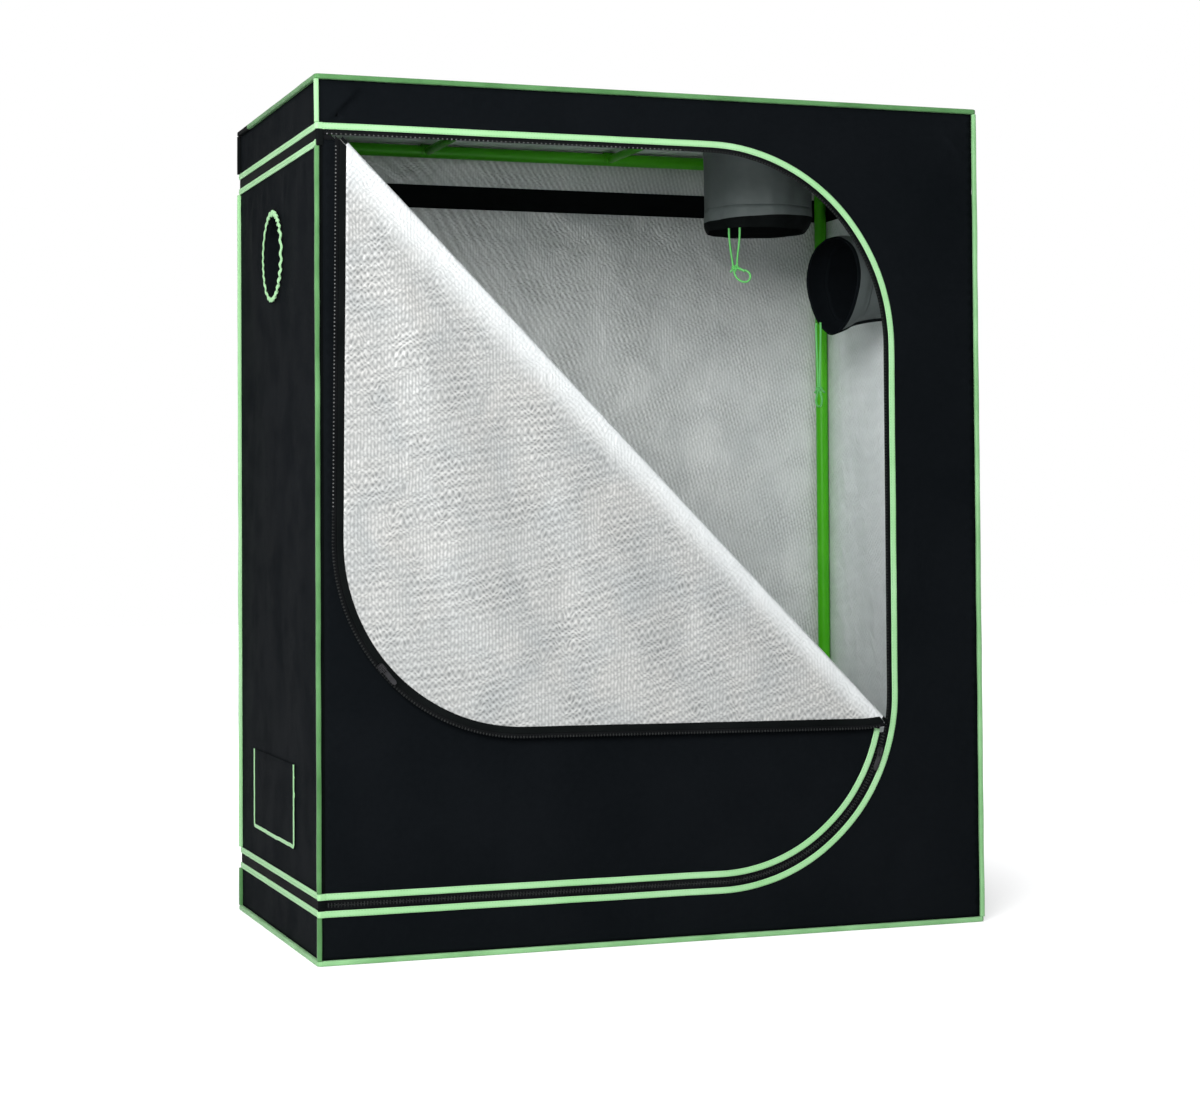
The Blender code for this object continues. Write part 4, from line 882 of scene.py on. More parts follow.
cover = rectangle(-WALL_X + GAP, -WALL_Y + GAP, WALL_X - GAP, WALL_Y - GAP)
roof_port = round_hole(ROOF_MIDDLE.x, 0, ROOF_RADIUS + GAP)
level_sheet("roof_cloth", "roof_panel", [cover, roof_port], ROOF_Z + CLOTH / 2, 1, -0.0012, 21.0, LINING_PAINTED_LIGHTER)
level_sheet("floor_cloth", "floor_panel", [cover], CLOTH / 2, -1, 0.0, 25.0, LINING_PAINTED_DARKER)

# %% [markdown]
# The door's outline is a rectangle with its two right corners rounded. `outline` lists it from the top
# left round to the bottom left, each point with the direction that leads out of the door. Everything
# that follows the zip is an offset from this one line.

# %% The door's outline


def arc(centre, radius, start, end, steps):
    """Flat points and outward directions round an arc, from one angle in degrees to another."""
    found = []
    for k in range(steps + 1):
        turn = math.radians(start + (end - start) * k / steps)
        away = Vector((math.cos(turn), math.sin(turn)))
        found.append((centre + away * radius, away))
    return found


def between(first, second, step, closed=False):
    """Stations from one to the next, none more than a step apart. A closed ring keeps its first, not its last."""
    (a, out_a), (b, out_b) = first, second
    count = max(1, math.ceil((b - a).length / step))
    steps = range(count) if closed else range(1, count + 1)
    return [(a.lerp(b, n / count), out_a.lerp(out_b, n / count).normalized()) for n in steps]


def stations_along(spots, step):
    return [spots[0]] + [station for pair in zip(spots, spots[1:]) for station in between(*pair, step)]


def outline():
    upper, lower = (Vector((DOOR_RIGHT - r, 0)) for r in (UPPER_RADIUS, LOWER_RADIUS))
    upper.y, lower.y = DOOR_TOP - UPPER_RADIUS, DOOR_BOTTOM + LOWER_RADIUS
    spots = [(Vector((DOOR_LEFT, DOOR_TOP)), Vector((0, 1)))]
    spots += arc(upper, UPPER_RADIUS, 90, 0, 48) + arc(lower, LOWER_RADIUS, 0, -90, 48)
    return stations_along(spots + [(Vector((DOOR_LEFT, DOOR_BOTTOM)), Vector((0, -1)))], 0.008)


def from_fold(point):
    """Distance of a flat point from the fold line, on the flap's side counted as positive."""
    return (point - FOLD_START).dot(FOLD_NORMAL)


def runs_beside_fold(offsets, side, margin):
    """The runs of the outline that lie on one side of the fold at every offset."""

    def room(station):
        return min(side * from_fold(station[0] - station[1] * offset) for offset in offsets) - margin

    stations, runs, run = outline(), [], []
    for i, station in enumerate(stations):
        here = room(station)
        if i and (here > 0) != (room(stations[i - 1]) > 0):
            share = room(stations[i - 1]) / (room(stations[i - 1]) - here)
            point = stations[i - 1][0].lerp(station[0], share)
            run.append((point, stations[i - 1][1].lerp(station[1], share).normalized()))
            if here <= 0:
                runs.append(run)
                run = []
        if here > 0:
            run.append(station)
    return runs + ([run] if run else [])


def upright(point, y):
    return Vector((point.x, y, point.y))


def folded(point, y):
    """Where a point of the closed flap lies once the flap is folded down."""
    flat = point - 2 * from_fold(point) * FOLD_NORMAL
    return Vector((flat.x, 2 * FOLD_Y - y, flat.y))


print(len(outline()), "stations round the door")

# %% [markdown]
# The front panel goes round the door as one C of cloth: header, right side and footer. The header shows
# a short slanting crease in its left corner, where the cloth is pulled over the corner joint.

# %% Front panel

front_edge = [point - away * LINE / 2 for point, away in outline()]
front_loop = [Vector((-WALL_X + GAP, front_edge[0].y))] + front_edge[1:-1]
front_loop += [Vector((-WALL_X + GAP, front_edge[-1].y))] + back
CREASES = [((-0.598, 1.429), (-0.545, 1.482), 0.0075), ((0.560, 1.448), (0.598, 1.408), 0.0034)]


def crease(flat, start, end, depth):
    """A ridge along a short line, steep to its right and gentle to its left."""
    a, b = np.array(start), np.array(end)
    share = np.clip(((flat - a) @ (b - a)) / ((b - a) @ (b - a)), 0, 1)
    x, y = (flat - a - share[:, None] * (b - a)).T
    left = (b - a)[0] * y - (b - a)[1] * x > 0
    fade = np.exp(-((np.hypot(x, y) / np.where(left, 0.022, 0.005)) ** 2))
    return depth * fade * np.sin(np.pi * (0.12 + 0.76 * share))


def crease_points(start, end):
    """Extra points close beside a crease, so that it comes out sharp."""
    a, b = Vector(start), Vector(end)
    across = Vector((a.y - b.y, b.x - a.x)).normalized()
    return [a.lerp(b, k / 16) + across * o for k in range(17) for o in (-0.008, -0.004, 0.0, 0.004)]


def front_place(flat):
    free = rise(distance_to(flat, [front_loop]), 0.012, 0.05)
    wave = 0.0022 * free * (0.5 + sway(flat, 0.16, 0.5, 31.0, (1.2, 0.5)))
    for start, end, depth in CREASES:
        wave += crease(flat, start, end, depth) * rise(distance_to(flat, [front_loop]), 0.0, 0.02)
    return np.column_stack((flat[:, 0], DOOR_MID_Y - wave, flat[:, 1]))


close_by = [spot for start, end, depth in CREASES for spot in crease_points(start, end)]
flat, triangles = cut_cloth([front_loop], STEP, close_by)
front = hang("front_cloth", flat, triangles, front_place, (0, -1, 0), [CLOTH_BLACK, LINING_PAINTED_DARKER])
dress(front, "tent", "cloth_black", "front_panel")
front_area = flat_area([front_loop])

# %% [markdown]
# The door and its folded flap are one piece of cloth, and the fold between them is a soft roll. The cloth
# is cut as two flat pieces that share the points of the fold line, and a half round of short strips joins
# them. The flap is then turned over about that line, so that its silver side faces out.

# %% Door, fold and flap in one cloth

FLAP_STEP = 0.0135
ROLL_STEPS = 9


def beside_fold(side):
    """Outline of the door (-1) or the flap (1), without the fold line itself, from one end of it to the other."""
    runs = runs_beside_fold([DOOR_EDGE], side, 0)
    stations = runs[-1] + (runs[0] if len(runs) > 1 else [])
    return [point - away * DOOR_EDGE for point, away in stations]


def flap_wave(flat, loop):
    """The flap's cloth stands a little off the door in waves that hang down from the fold."""
    free = rise(distance_to(flat, [loop]), 0.045, 0.155)
    hanging = flat - 2 * ((flat - np.array(FOLD_START)) @ np.array(FOLD_NORMAL))[:, None] * np.array(FOLD_NORMAL)
    wave = np.sin(2 * math.pi * (hanging[:, 0] + hanging[:, 1] * 0.25) / 0.24)
    return free * (0.006 * (1 + wave) / 2 + np.clip(sway(flat, 0.08, 0.0015, 44.0), -0.0012, 0.0012))


def door_wave(flat, loop):
    """The door's cloth is pulled by its zip: long shallow waves, never out of its plane towards the flap."""
    free = rise(distance_to(flat, [loop]), 0.02, 0.12)
    return free * 0.003 * np.clip(0.5 + sway(flat, 0.2, 0.6, 51.0, (0.8, 1.3)), 0, 1.2)


fold_length = (FOLD_END - FOLD_START).length


def smooth_highlight_band(spot):
    """The lining is pulled smooth beside the fold, in a band that narrows towards the fold's lower end. The same band
    is painted lighter, as a highlight along the fold.
    """
    share = (spot - FOLD_START).dot(FOLD_ALONG) / fold_length
    return 1 - rise(abs(from_fold(spot)), -0.008, 0.072 - 0.036 * share)


fold_count = math.ceil(fold_length / FLAP_STEP)
fold_line = [FOLD_START.lerp(FOLD_END, k / fold_count) for k in range(fold_count + 1)]
cloth_points, cloth_faces, cloth_uvs, cloth_smooth_highlight, cloth_slots = [], [], [], [], []
fold_rows = []
for side_sign, wave, place in ((-1, door_wave, upright), (1, flap_wave, folded)):
    edge = beside_fold(side_sign)
    if (edge[0] - fold_line[-1]).length > (edge[0] - fold_line[0]).length:
        edge.reverse()
    loop = [p for p in edge if min((p - fold_line[0]).length, (p - fold_line[-1]).length) > 0.003] + fold_line
    flat, triangles = cut_cloth([loop], FLAP_STEP)
    base = len(cloth_points)
    cloth_points += [place(Vector(spot), DOOR_MID_Y + deep) for spot, deep in zip(flat, wave(flat, loop))]
    cloth_smooth_highlight += [smooth_highlight_band(Vector(spot)) for spot in flat]
    for t in triangles:
        a, b, c = (Vector((*flat[i], 0)) for i in t)
        t = t if (b - a).cross(c - a).z > 0 else t[::-1]
        cloth_faces.append(tuple(base + i for i in t))
        cloth_uvs.append([tuple(flat[i] + side_sign * np.array(FOLD_NORMAL) * FOLD_RADIUS * 1.57) for i in t])
        cloth_slots.append(0)
    fold_rows.append([base + int(np.argmin(np.hypot(*(flat - np.array(spot)).T))) for spot in fold_line])
door_row, flap_row = fold_rows
rows = [door_row]
for k in range(1, ROLL_STEPS):
    turn = math.pi * k / ROLL_STEPS
    rows.append([len(cloth_points) + n for n in range(len(fold_line))])
    for spot in fold_line:
        middle = upright(spot, FOLD_Y)
        bulge = upright(FOLD_NORMAL * FOLD_RADIUS * math.sin(turn), FOLD_RADIUS * math.cos(turn))
        cloth_points.append(middle + bulge)
        # The roll lies wholly in the smooth band, so it takes the whole painted highlight.
        cloth_smooth_highlight.append(1.0)
rows.append(flap_row)
for k in range(ROLL_STEPS):
    for n in range(len(fold_line) - 1):
        cloth_faces.append((rows[k][n], rows[k][n + 1], rows[k + 1][n + 1], rows[k + 1][n]))
        across = [(-0.5 + s / ROLL_STEPS) * math.pi * FOLD_RADIUS for s in (k, k, k + 1, k + 1)]
        ends = [fold_line[n], fold_line[n + 1], fold_line[n + 1], fold_line[n]]
        cloth_uvs.append([tuple(e + FOLD_NORMAL * a) for e, a in zip(ends, across)])
        cloth_slots.append(0 if 0 < n < len(fold_line) - 2 else 2)
finishes = [CLOTH_BLACK, LINING_PAINTED_DARKER, CLOTH_BLACK, BAND_BLACK]
door_cloth = mesh_piece("door_cloth", cloth_points, cloth_faces, cloth_uvs, finishes, cloth_slots)
door_cloth.data.attributes.new("smoothed_and_highlit", "FLOAT", "POINT").data.foreach_set("value", cloth_smooth_highlight)
first = door_cloth.data.polygons[0]
if first.normal.y > 0:
    door_cloth.data.flip_normals()
thicken(door_cloth, CLOTH)
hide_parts("door_panel", "door_flap")
door_loop = [point - away * DOOR_EDGE for point, away in outline()]
declare(door_cloth, [door_loop])
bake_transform(door_cloth)

# %% [markdown]
# Binding tape is folded over a cut edge and sewn through, which leaves a soft rounded line. A ribbon with
# a rounded section, swept along the edge, gives that. The zip's two half tapes are thinner ribbons.

# %% Ribbons along the door


def tape_section(width, thickness, sides=12, power=0.55):
    """A rounded rectangle, as across and outward distances."""
    spots = []
    for k in range(sides):
        t = 2 * math.pi * (k + 0.5) / sides
        c, s = math.cos(t), math.sin(t)
        across = math.copysign(abs(c) ** power, c) * width / 2
        spots.append((across, math.copysign(abs(s) ** power, s) * thickness / 2))
    return spots


def lay_tape(shape, stations, middle, width, near, far, place=upright, uneven=0.0, side=0, clear=0.0):
    """Sweeps a tape along outline stations, at an offset in from the outer line, between two depths.

    With a side of 1 or -1 its ends are cut to the fold: points closer to it than clear slide back along the tape.
    """
    rings = []
    for point, away in stations:
        shift = uneven * noise.noise(Vector((point.x * 14, point.y * 14, 0)))
        ring = []
        for a, b in tape_section(width, abs(far - near)):
            spot = point - away * (middle + shift + a)
            room = side * from_fold(spot) - clear
            if side and room < 0:
                ahead = Vector((away.y, -away.x))
                spot -= ahead * (room / (side * FOLD_NORMAL.dot(ahead)))
            ring.append(place(spot, (near + far) / 2 + b))
        rings.append(ring)
    shape.sweep(rings)


LINE_THICK = 0.003
LINE_NEAR, LINE_FAR = FRONT_Y - GAP, FRONT_Y - GAP - LINE_THICK
TAPE_NEAR, TAPE_FAR = DOOR_MID_Y + 0.001, DOOR_MID_Y - 0.001
DOOR_LINE = DOOR_EDGE + LINE / 2
piping = Shape()
lay_tape(piping, outline(), 0.0, LINE, LINE_NEAR, LINE_FAR, uneven=0.0004)
dress(piping.make("door_outer_line", [BINDING]), "tent", "binding_green", "zip_piping")
tape = Shape()
lay_tape(tape, outline(), FRAME_TAPE + TAPE_WIDTH / 2, TAPE_WIDTH, TAPE_NEAR, TAPE_FAR)
dress(tape.make("frame_zip_tape", [ZIP_TAPE]), "tent", "zip_black", "zip_tape_frame")
lower_line = runs_beside_fold([DOOR_EDGE, DOOR_EDGE + LINE], -1, 0.012)[-1]
lower_tape = runs_beside_fold([DOOR_TAPE, DOOR_TAPE + TAPE_WIDTH], -1, 0.012)[-1]
upper_line = runs_beside_fold([DOOR_EDGE, DOOR_EDGE + LINE], 1, 0.012)[0]
upper_tape = runs_beside_fold([DOOR_TAPE], 1, 0.002)[0]
upper_hem = runs_beside_fold([DOOR_EDGE - 0.001], 1, 0.0005)[0]
corner_tape = [station for station in outline() if station[0].x < FOLD_START.x and station[1].y > 0.99]
flap_run = upper_line[8:]
piped = ("binding_green", BINDING, 0.0004, DOOR_LINE, LINE, LINE_NEAR, LINE_FAR)
zipped = ("zip_black", ZIP_TAPE, 0.0, DOOR_TAPE + TAPE_WIDTH / 2, TAPE_WIDTH, TAPE_NEAR, TAPE_FAR)
for name, body, node_name, stations, (slot, finish, uneven, *sizes), place in (
    ("door_line", "door", "door_piping", lower_line, piped, upright),
    ("door_zip_tape", "door", "zip_tape_door", lower_tape, zipped, upright),
    ("flap_line", "door_flap", "flap_piping", flap_run, piped, folded),
    ("flap_zip_tape", "door_flap", "zip_tape_flap", upper_tape, zipped, folded),
):
    ribbon = Shape()
    cut = 1 if name == "flap_zip_tape" else 0
    lay_tape(ribbon, stations, *sizes, place, uneven=uneven, side=cut, clear=0.002)
    if name == "door_zip_tape":
        lay_tape(ribbon, corner_tape, *sizes, side=-1, clear=0.003)
    dress(ribbon.make(name, [finish]), body, slot, node_name)
INNER_NEAR = DOOR_MID_Y + CLOTH / 2 + 0.0002
for name, body, stations, start, width, place in (
    ("flap_inner_binding", "door_flap", upper_hem, DOOR_EDGE - 0.0010, 0.0115, folded),
    ("door_inner_binding", "door", lower_line, DOOR_EDGE - 0.0010, 0.0115, upright),
    ("frame_inner_binding", "tent", outline(), -0.0060, 0.0130, upright),
):
    ribbon = Shape()
    cut = 1 if body == "door_flap" else 0
    depths = (INNER_NEAR, INNER_NEAR + 0.0011)
    lay_tape(ribbon, stations, start + width / 2, width, *depths, place, uneven=0.0003, side=cut, clear=0.0005)
    dress(ribbon.make(name, [BAND_BLACK]), body, "zip_black")
guard = Shape()
guard_y, guard_ends, narrow = DOOR_MID_Y + CLOTH / 2 + 0.0009, (DOOR_BOTTOM + 0.03, DOOR_TOP - 0.05), 0.0155
for start, end, width in (
    (DOOR_BOTTOM - 0.01, guard_ends[0], narrow), (*guard_ends, 0.043), (guard_ends[1], DOOR_TOP + 0.01, narrow),
):
    heights = np.linspace(start, end, max(4, int((end - start) / STEP)))
    edge_run = [(Vector((-WALL_X + GAP, z)), Vector((-1, 0))) for z in heights]
    lay_tape(guard, edge_run, width / 2, width, guard_y - 0.0005, guard_y + 0.0005)
dress(guard.make("hinge_guard_tape", [BAND_BLACK]), "tent", "zip_black")
print("laid ten tapes round the door")

# %% [markdown]
# The tent's edges are bound too: a ring round the roof, one round the floor, and a rod of binding down
# each corner. Two bands with green edges run round the sides and the back, level with the door's top and
# bottom. They pass outside every corner but the front right one, so those rods stop short there.

# %% Edge rings, corner rods and bands


def square_ring(x, y, radius, steps=6):
    """Flat points and outward directions round a rectangle with rounded corners, anticlockwise."""
    stations = []
    for sx, sy, start in ((1, -1, -90), (1, 1, 0), (-1, 1, 90), (-1, -1, 180)):
        stations += arc(Vector((sx * (x - radius), sy * (y - radius))), radius, start, start + 90, steps)
    pairs = zip(stations, stations[1:] + stations[:1])
    return [station for pair in pairs for station in between(*pair, STEP, closed=True)]


def level_rings(stations, height, section, uneven=0.0):
    rings = []
    for spot, away in stations:
        shift = uneven * noise.noise(Vector((spot.x * 11, spot.y * 11, height)))
        rings.append([Vector((*(spot + away * (a + shift)), height + b)) for a, b in section])
    return rings


def darken(shape, test):
    """Gives the second material to the faces whose middle passes a test."""
    for k, face in enumerate(shape.faces):
        if test(sum((shape.points[i] for i in face), Vector()) / len(face)):
            shape.slots[k] = 1


def black_corner(middle):
    """The roof ring near the rear left corner, whose binding is given black instead of green."""
    return middle.y > HALF_Y - 0.105 and middle.x < -HALF_X + 0.10


for name, node_name, height, green in (
    ("roof_binding", "top_edge_piping", TOP - EDGE / 2, EDGE_GREEN_PAINTED_DARKER),
    ("floor_binding", "bottom_edge_piping", EDGE / 2, FOOT_GREEN_PAINTED_LIGHTER),
):
    ring = Shape()
    stations = square_ring(HALF_X - EDGE / 2, HALF_Y - EDGE / 2, 0.004)
    ring.sweep(level_rings(stations, height, tape_section(EDGE * 0.98, EDGE, 16), 0.0007), closed=True)
    if name == "roof_binding":
        darken(ring, black_corner)
    dress(ring.make(name, [green, BAND_BLACK]), "tent", "binding_green", node_name)
for corner, sx, sy in (("front_left", -1, -1), ("front_right", 1, -1), ("rear_left", -1, 1), ("rear_right", 1, 1)):
    stops = [EDGE + GAP, TOP - EDGE - GAP]
    if sy > 0 or sx < 0:
        half = BAND / 2 + GAP
        stops = [stops[0], LOWER_BAND - half, LOWER_BAND + half, UPPER_BAND - half, UPPER_BAND + half, stops[1]]
    rods = Shape()
    for start, end in zip(stops[::2], stops[1::2]):
        heights = np.linspace(start, end, max(3, int((end - start) / STEP)))
        rings = []
        for z in heights:
            shift = 0.0008 * noise.noise(Vector((z * 9, sx, sy)))
            middle = Vector((sx * (HALF_X - EDGE / 2), sy * (HALF_Y - EDGE / 2), z))
            slim = 0.90 + 0.08 * noise.noise(Vector((z * 13, sy, sx)))
            rings.append([middle + Vector((a + shift, b, 0)) for a, b in tape_section(EDGE * slim, EDGE * slim, 16)])
        # Painted light: the rod segments that catch light take the paler tape, the front right rod takes the lightest
        # copy, and the rest take the darker copy.
        pale = {"front_left": start > UPPER_BAND, "rear_left": LOWER_BAND < start < UPPER_BAND}
        rods.sweep(rings, slot=2 if pale.get(corner) else 3 if corner == "front_right" else 0)
    # The rear left rod is given black above the upper band.
    if corner == "rear_left":
        darken(rods, lambda middle: middle.z > UPPER_BAND)
    made = rods.make("corner_binding_" + corner, [EDGE_GREEN_PAINTED_DARKER, BAND_BLACK, BINDING, FOOT_GREEN_PAINTED_LIGHTER])
    dress(made, "tent", "binding_green", "corner_piping_" + corner)


def band_stations(out_from_wall, radius=0.003):
    """Flat points and outward directions round the left side, the back and the right side."""
    x, y, front = WALL_X + CLOTH + out_from_wall, WALL_Y + CLOTH + out_from_wall, -HALF_Y + EDGE + GAP
    spots = [(Vector((-x, front)), Vector((-1, 0)))]
    for sx, start in ((-1, 180), (1, 90)):
        spots += arc(Vector((sx * (x - radius), y - radius)), radius, start, start - 90, 6)
    return stations_along(spots + [(Vector((x, front)), Vector((1, 0)))], STEP)


def round_the_corner(lift, reach):
    """Flat points and outward directions from a band's front end round the front left corner."""
    x, y = WALL_X + CLOTH + lift, WALL_Y + CLOTH + lift
    bulge, bend = 0.0022, 0.004
    spots = [(Vector((-x, -HALF_Y + EDGE + GAP)), Vector((-1, 0)))]
    spots += arc(Vector((-x - bulge + bend, -y - bulge + bend)), bend, 180, 270, 6)
    spots.append((Vector((DOOR_LEFT + 0.001, -y)), Vector((0, -1))))
    return spots[: max(2, round(reach * len(spots)))]


for name, node_name, height, reaches in (
    ("upper_band_tape", "upper_band", UPPER_BAND, (0.5, 1.0)),
    ("lower_band_tape", "lower_band", LOWER_BAND, (1.0, 1.0)),
):
    band = Shape()
    web_section = [(b, a) for a, b in tape_section(BAND - 2 * LINE, 0.0012)]
    line_section = [(b, a) for a, b in tape_section(LINE, LINE_THICK)]
    band.sweep(level_rings(band_stations(GAP + 0.0006), height, web_section), slot=1)
    corner_web = [(b, a) for a, b in tape_section(BAND - 0.002, 0.0012)]
    band.sweep(level_rings(round_the_corner(GAP + 0.0006, 1.0), height, corner_web), slot=1)
    for sign, reach in zip((-1, 1), reaches):
        level = height + sign * (BAND / 2 - LINE / 2)
        for stations in (band_stations(GAP + LINE_THICK / 2), round_the_corner(GAP + LINE_THICK / 2, reach)):
            band.sweep(level_rings(stations, level, line_section, 0.0004), slot=0)
    dress(band.make(name, [BINDING, BAND_BLACK]), "tent", "binding_green", node_name)
inner = Shape()
inner_low, inner_high = low("inner_band").z, high("inner_band").z
stations = [(spot, -away) for spot, away in band_stations(-CLOTH - GAP - 0.0006, 0.002)]
stations[0] = (Vector((stations[0][0].x, -WALL_Y + GAP)), stations[0][1])
stations[-1] = (Vector((stations[-1][0].x, -WALL_Y + GAP)), stations[-1][1])
section = [(b, a) for a, b in tape_section(inner_high - inner_low, 0.0011)]
inner.sweep(level_rings(stations, (inner_low + inner_high) / 2, section))
dress(inner.make("inner_black_band", [BAND_BLACK]), "tent", "zip_black", "inner_band")
print("bound every edge")

# %% [markdown]
# Duct sleeves are tubes of lined cloth, gathered by a drawstring in a black collar. Each ring of the tube
# dips inward once for each fold, and the dips deepen towards the collar. Fine noise adds the small
# puckers of real cloth between the folds.

# %% Sleeves, collars and the left port


MOUTH_SAG = 1.1


def gathered_ring(centre, u, v, radius, depth, pinch=0.0, pucker=0.0, seed=0.0, folds=SLEEVE_FOLDS):
    """A ring of cloth with narrow folds. A pinch draws its lower half in and lets it sag."""
    points = []
    for turn in round_turns(120):
        wave = noise.noise(Vector((6 * math.cos(turn), 6 * math.sin(turn), seed)))
        fold = ((1 - math.cos(folds * turn)) / 2) ** 2.5
        reach = radius - depth * fold - pucker * (0.5 + 0.5 * wave)
        drawn = pinch * ((1 - math.sin(turn)) / 2) ** 2
        across, rise_by = reach * math.cos(turn) * (1 - drawn), reach * math.sin(turn) * (1 + MOUTH_SAG * drawn)
        points.append(centre + u * across + v * rise_by)
    return points


def cloth_tube(name, slot, node_name, rings, materials, dark_steps=0, seam=0.0):
    """A wall of cloth through the rings, with its second material inside.

    The last dark_steps rings take the second material outside too, and so does a strip along the
    underside, which reaches the seam angle to both sides: it is painted shade under the sleeve.
    """
    shape = Shape().sweep(rings, caps=False)
    count = len(rings[0])
    for k in range(len(shape.slots)):
        turn = 2 * math.pi * (k % count + 0.5) / count
        if k >= len(shape.slots) - count * dark_steps or abs(turn - 1.5 * math.pi) < seam:
            shape.slots[k] = 1
    made = shape.make(name, materials)
    middle = sum(rings[0], Vector()) / len(rings[0])
    face = made.data.polygons[0]
    if face.normal.dot(face.center - middle) < 0:
        made.data.flip_normals()
    thicken(made, CLOTH, rim_slot=1)
    dress(made, "tent", slot, node_name)


X, Y, Z = Vector((1, 0, 0)), Vector((0, 1, 0)), Vector((0, 0, 1))
MID = CLOTH / 2
COLLAR_OUT, LAP = 0.0015 + GAP, 0.006
rings = []
sleeve_top, sleeve_low = high("roof_sleeve").z, low("roof_sleeve").z
for share in np.linspace(0, 1, 20):
    centre = Vector((ROOF_MIDDLE.x, 0, sleeve_top + (sleeve_low - sleeve_top) * share))
    rings.append(gathered_ring(centre, X, Y, ROOF_RADIUS - MID, 0.003 * share, 0, 0.0018 * share, share * 2))
cloth_tube("roof_duct_sleeve", "lining_silver", "roof_sleeve", rings, [DUCT_CLOTH, CLOTH_BLACK])
rings = []
LEFT_ON_SCREEN = math.radians(160)


def collar_lift(share):
    """How far a collar stands out from its sleeve: flush where it starts, so that no step shows."""
    return 0.0003 + (COLLAR_OUT - 0.0003) * rise(share, 0.0, 0.3) + 0.0012 * math.sin(math.pi * share)


for share in np.linspace(0, 1, 12):
    centre = Vector((ROOF_MIDDLE.x, 0, collar[1].z + LAP + (collar[0].z - collar[1].z - LAP) * share))
    drawn = 0.010 * share * share
    bulge = collar_lift(share) - drawn
    radius, folds, pucker = ROOF_RADIUS - MID + bulge, 0.003 + 0.002 * share, 0.0018 + 0.0012 * share
    ring = gathered_ring(centre + cord_side * drawn, X, Y, radius, folds, 0, pucker, 2 + share)
    for k, point in enumerate(ring):
        sag = 0.010 + 0.005 * math.cos(2 * math.pi * k / len(ring) - LEFT_ON_SCREEN)
        point.z -= sag * min(share / 0.27, (1 - share) / 0.73)
    rings.append(ring)
cloth_tube("roof_sleeve_collar_cloth", "zip_black", "roof_sleeve_collar", rings, [DUCT_CLOTH, BAND_BLACK], dark_steps=8)
split = RIGHT_SLEEVE / RIGHT_LENGTH
PINCH = 0.2
rings = []
for share in np.linspace(0, split, 16):
    centre, across, along = right_sleeve_place(share)
    folds, pucker, pinch = 0.003 * share / split, 0.0018 * share, PINCH * share * share
    rings.append(gathered_ring(centre, across, Z, RIGHT_RADIUS - MID, folds, pinch, pucker, 9 + share * 2))
# Painted shade: a strip of black cloth along the sleeve's underside stands for the shade beneath it.
cloth_tube("right_duct_sleeve", "lining_silver", "right_sleeve", rings, [DUCT_CLOTH, CLOTH_BLACK], seam=0.32)
rings = []
for share in np.linspace(split - LAP / RIGHT_LENGTH, 1, 13):
    centre, across, along = right_sleeve_place(share)
    part = max(0.0, (share - split) / (1 - split))
    radius = RIGHT_RADIUS - MID + collar_lift(part)
    folds, pucker = 0.003 - 0.0022 * part, 0.0018 * share - 0.0008 * part
    rings.append(gathered_ring(centre, across, Z, radius, folds, PINCH * share * share, pucker, 9 + share * 2))
cloth_tube(
    "right_sleeve_collar_cloth", "zip_black", "right_sleeve_collar", rings, [DUCT_CLOTH, CLOTH_BLACK],
    dark_steps=2, seam=0.32,
)

# %% [markdown]
# The left port is seen from outside. Its green hem is an elastic that puckers the cloth into two dozen
# ruffles, so the ring sways in and out and its section swells between the puckers. Behind it the black
# sock draws in towards its tied end.

# %% Left port ring and sock

RUFFLES = 28
port_x = high("left_port_ring").x - 0.0042
ring_rings = []
for turn in round_turns(RUFFLES * 8):
    away = Vector((0, math.cos(turn), math.sin(turn)))
    phase = RUFFLES * turn + 1.5 * math.sin(3 * turn) + 0.9 * math.sin(5 * turn + 1)
    front = (1 - math.cos(turn)) / 2
    lift = 0.0005 + 0.0008 * front
    centre = Vector((port_x - lift * math.cos(phase), PORT_LEFT.y, PORT_LEFT.z))
    centre += away * (PORT_RADIUS + 0.0011 * math.sin(phase))
    wide = 0.0056 + 0.0030 * front + 0.0036 * max(0.0, math.sin(turn)) ** 3 + 0.0012 * math.cos(phase + 1.2)
    ring_rings.append([centre + away * a + X * b for a, b in tape_section(wide, 0.0030 + 0.0016 * front, 12, 0.8)])
hem = Shape().sweep(ring_rings, closed=True).make("left_port_hem", [BINDING])
dress(hem, "tent", "binding_green", "left_port_ring")
sock = []
sock_start, sock_length = -WALL_X - CLOTH, 0.11
wide, narrow = PORT_RADIUS - GAP - MID, (PORT_RADIUS - GAP) * 0.3
for share in np.linspace(0, 1, 22):
    reach = narrow + (wide - narrow) * math.sqrt(max(0.0, 1 - share * share))
    depth = 0.004 * math.sin(math.pi * share) + 0.0014 * share
    centre = Vector((sock_start + (sock_length - CLOTH) * share, PORT_LEFT.y, PORT_LEFT.z))
    pucker = 0.003 * math.sin(math.pi * min(1, share * 1.2))
    sock.append(gathered_ring(centre, Y, Z, reach, depth, 0, pucker, 20 + share * 2, folds=8))
centre = Vector((sock_start + sock_length - CLOTH, PORT_LEFT.y, PORT_LEFT.z))
for share in (0.6, 0.25):
    sock.append([centre + (point - centre) * share for point in sock[21]])
cloth_tube("left_port_sock", "cloth_black", "left_port_sleeve", sock, [CLOTH_BLACK, CLOTH_BLACK])

# %% [markdown]
# Low on the left wall a vent is covered by a flap, bound in green on three sides and sewn along its top.
# Behind it a net closes the hole. The flap is its own body, so it is a sheet of its own.

# %% Vent flap and net

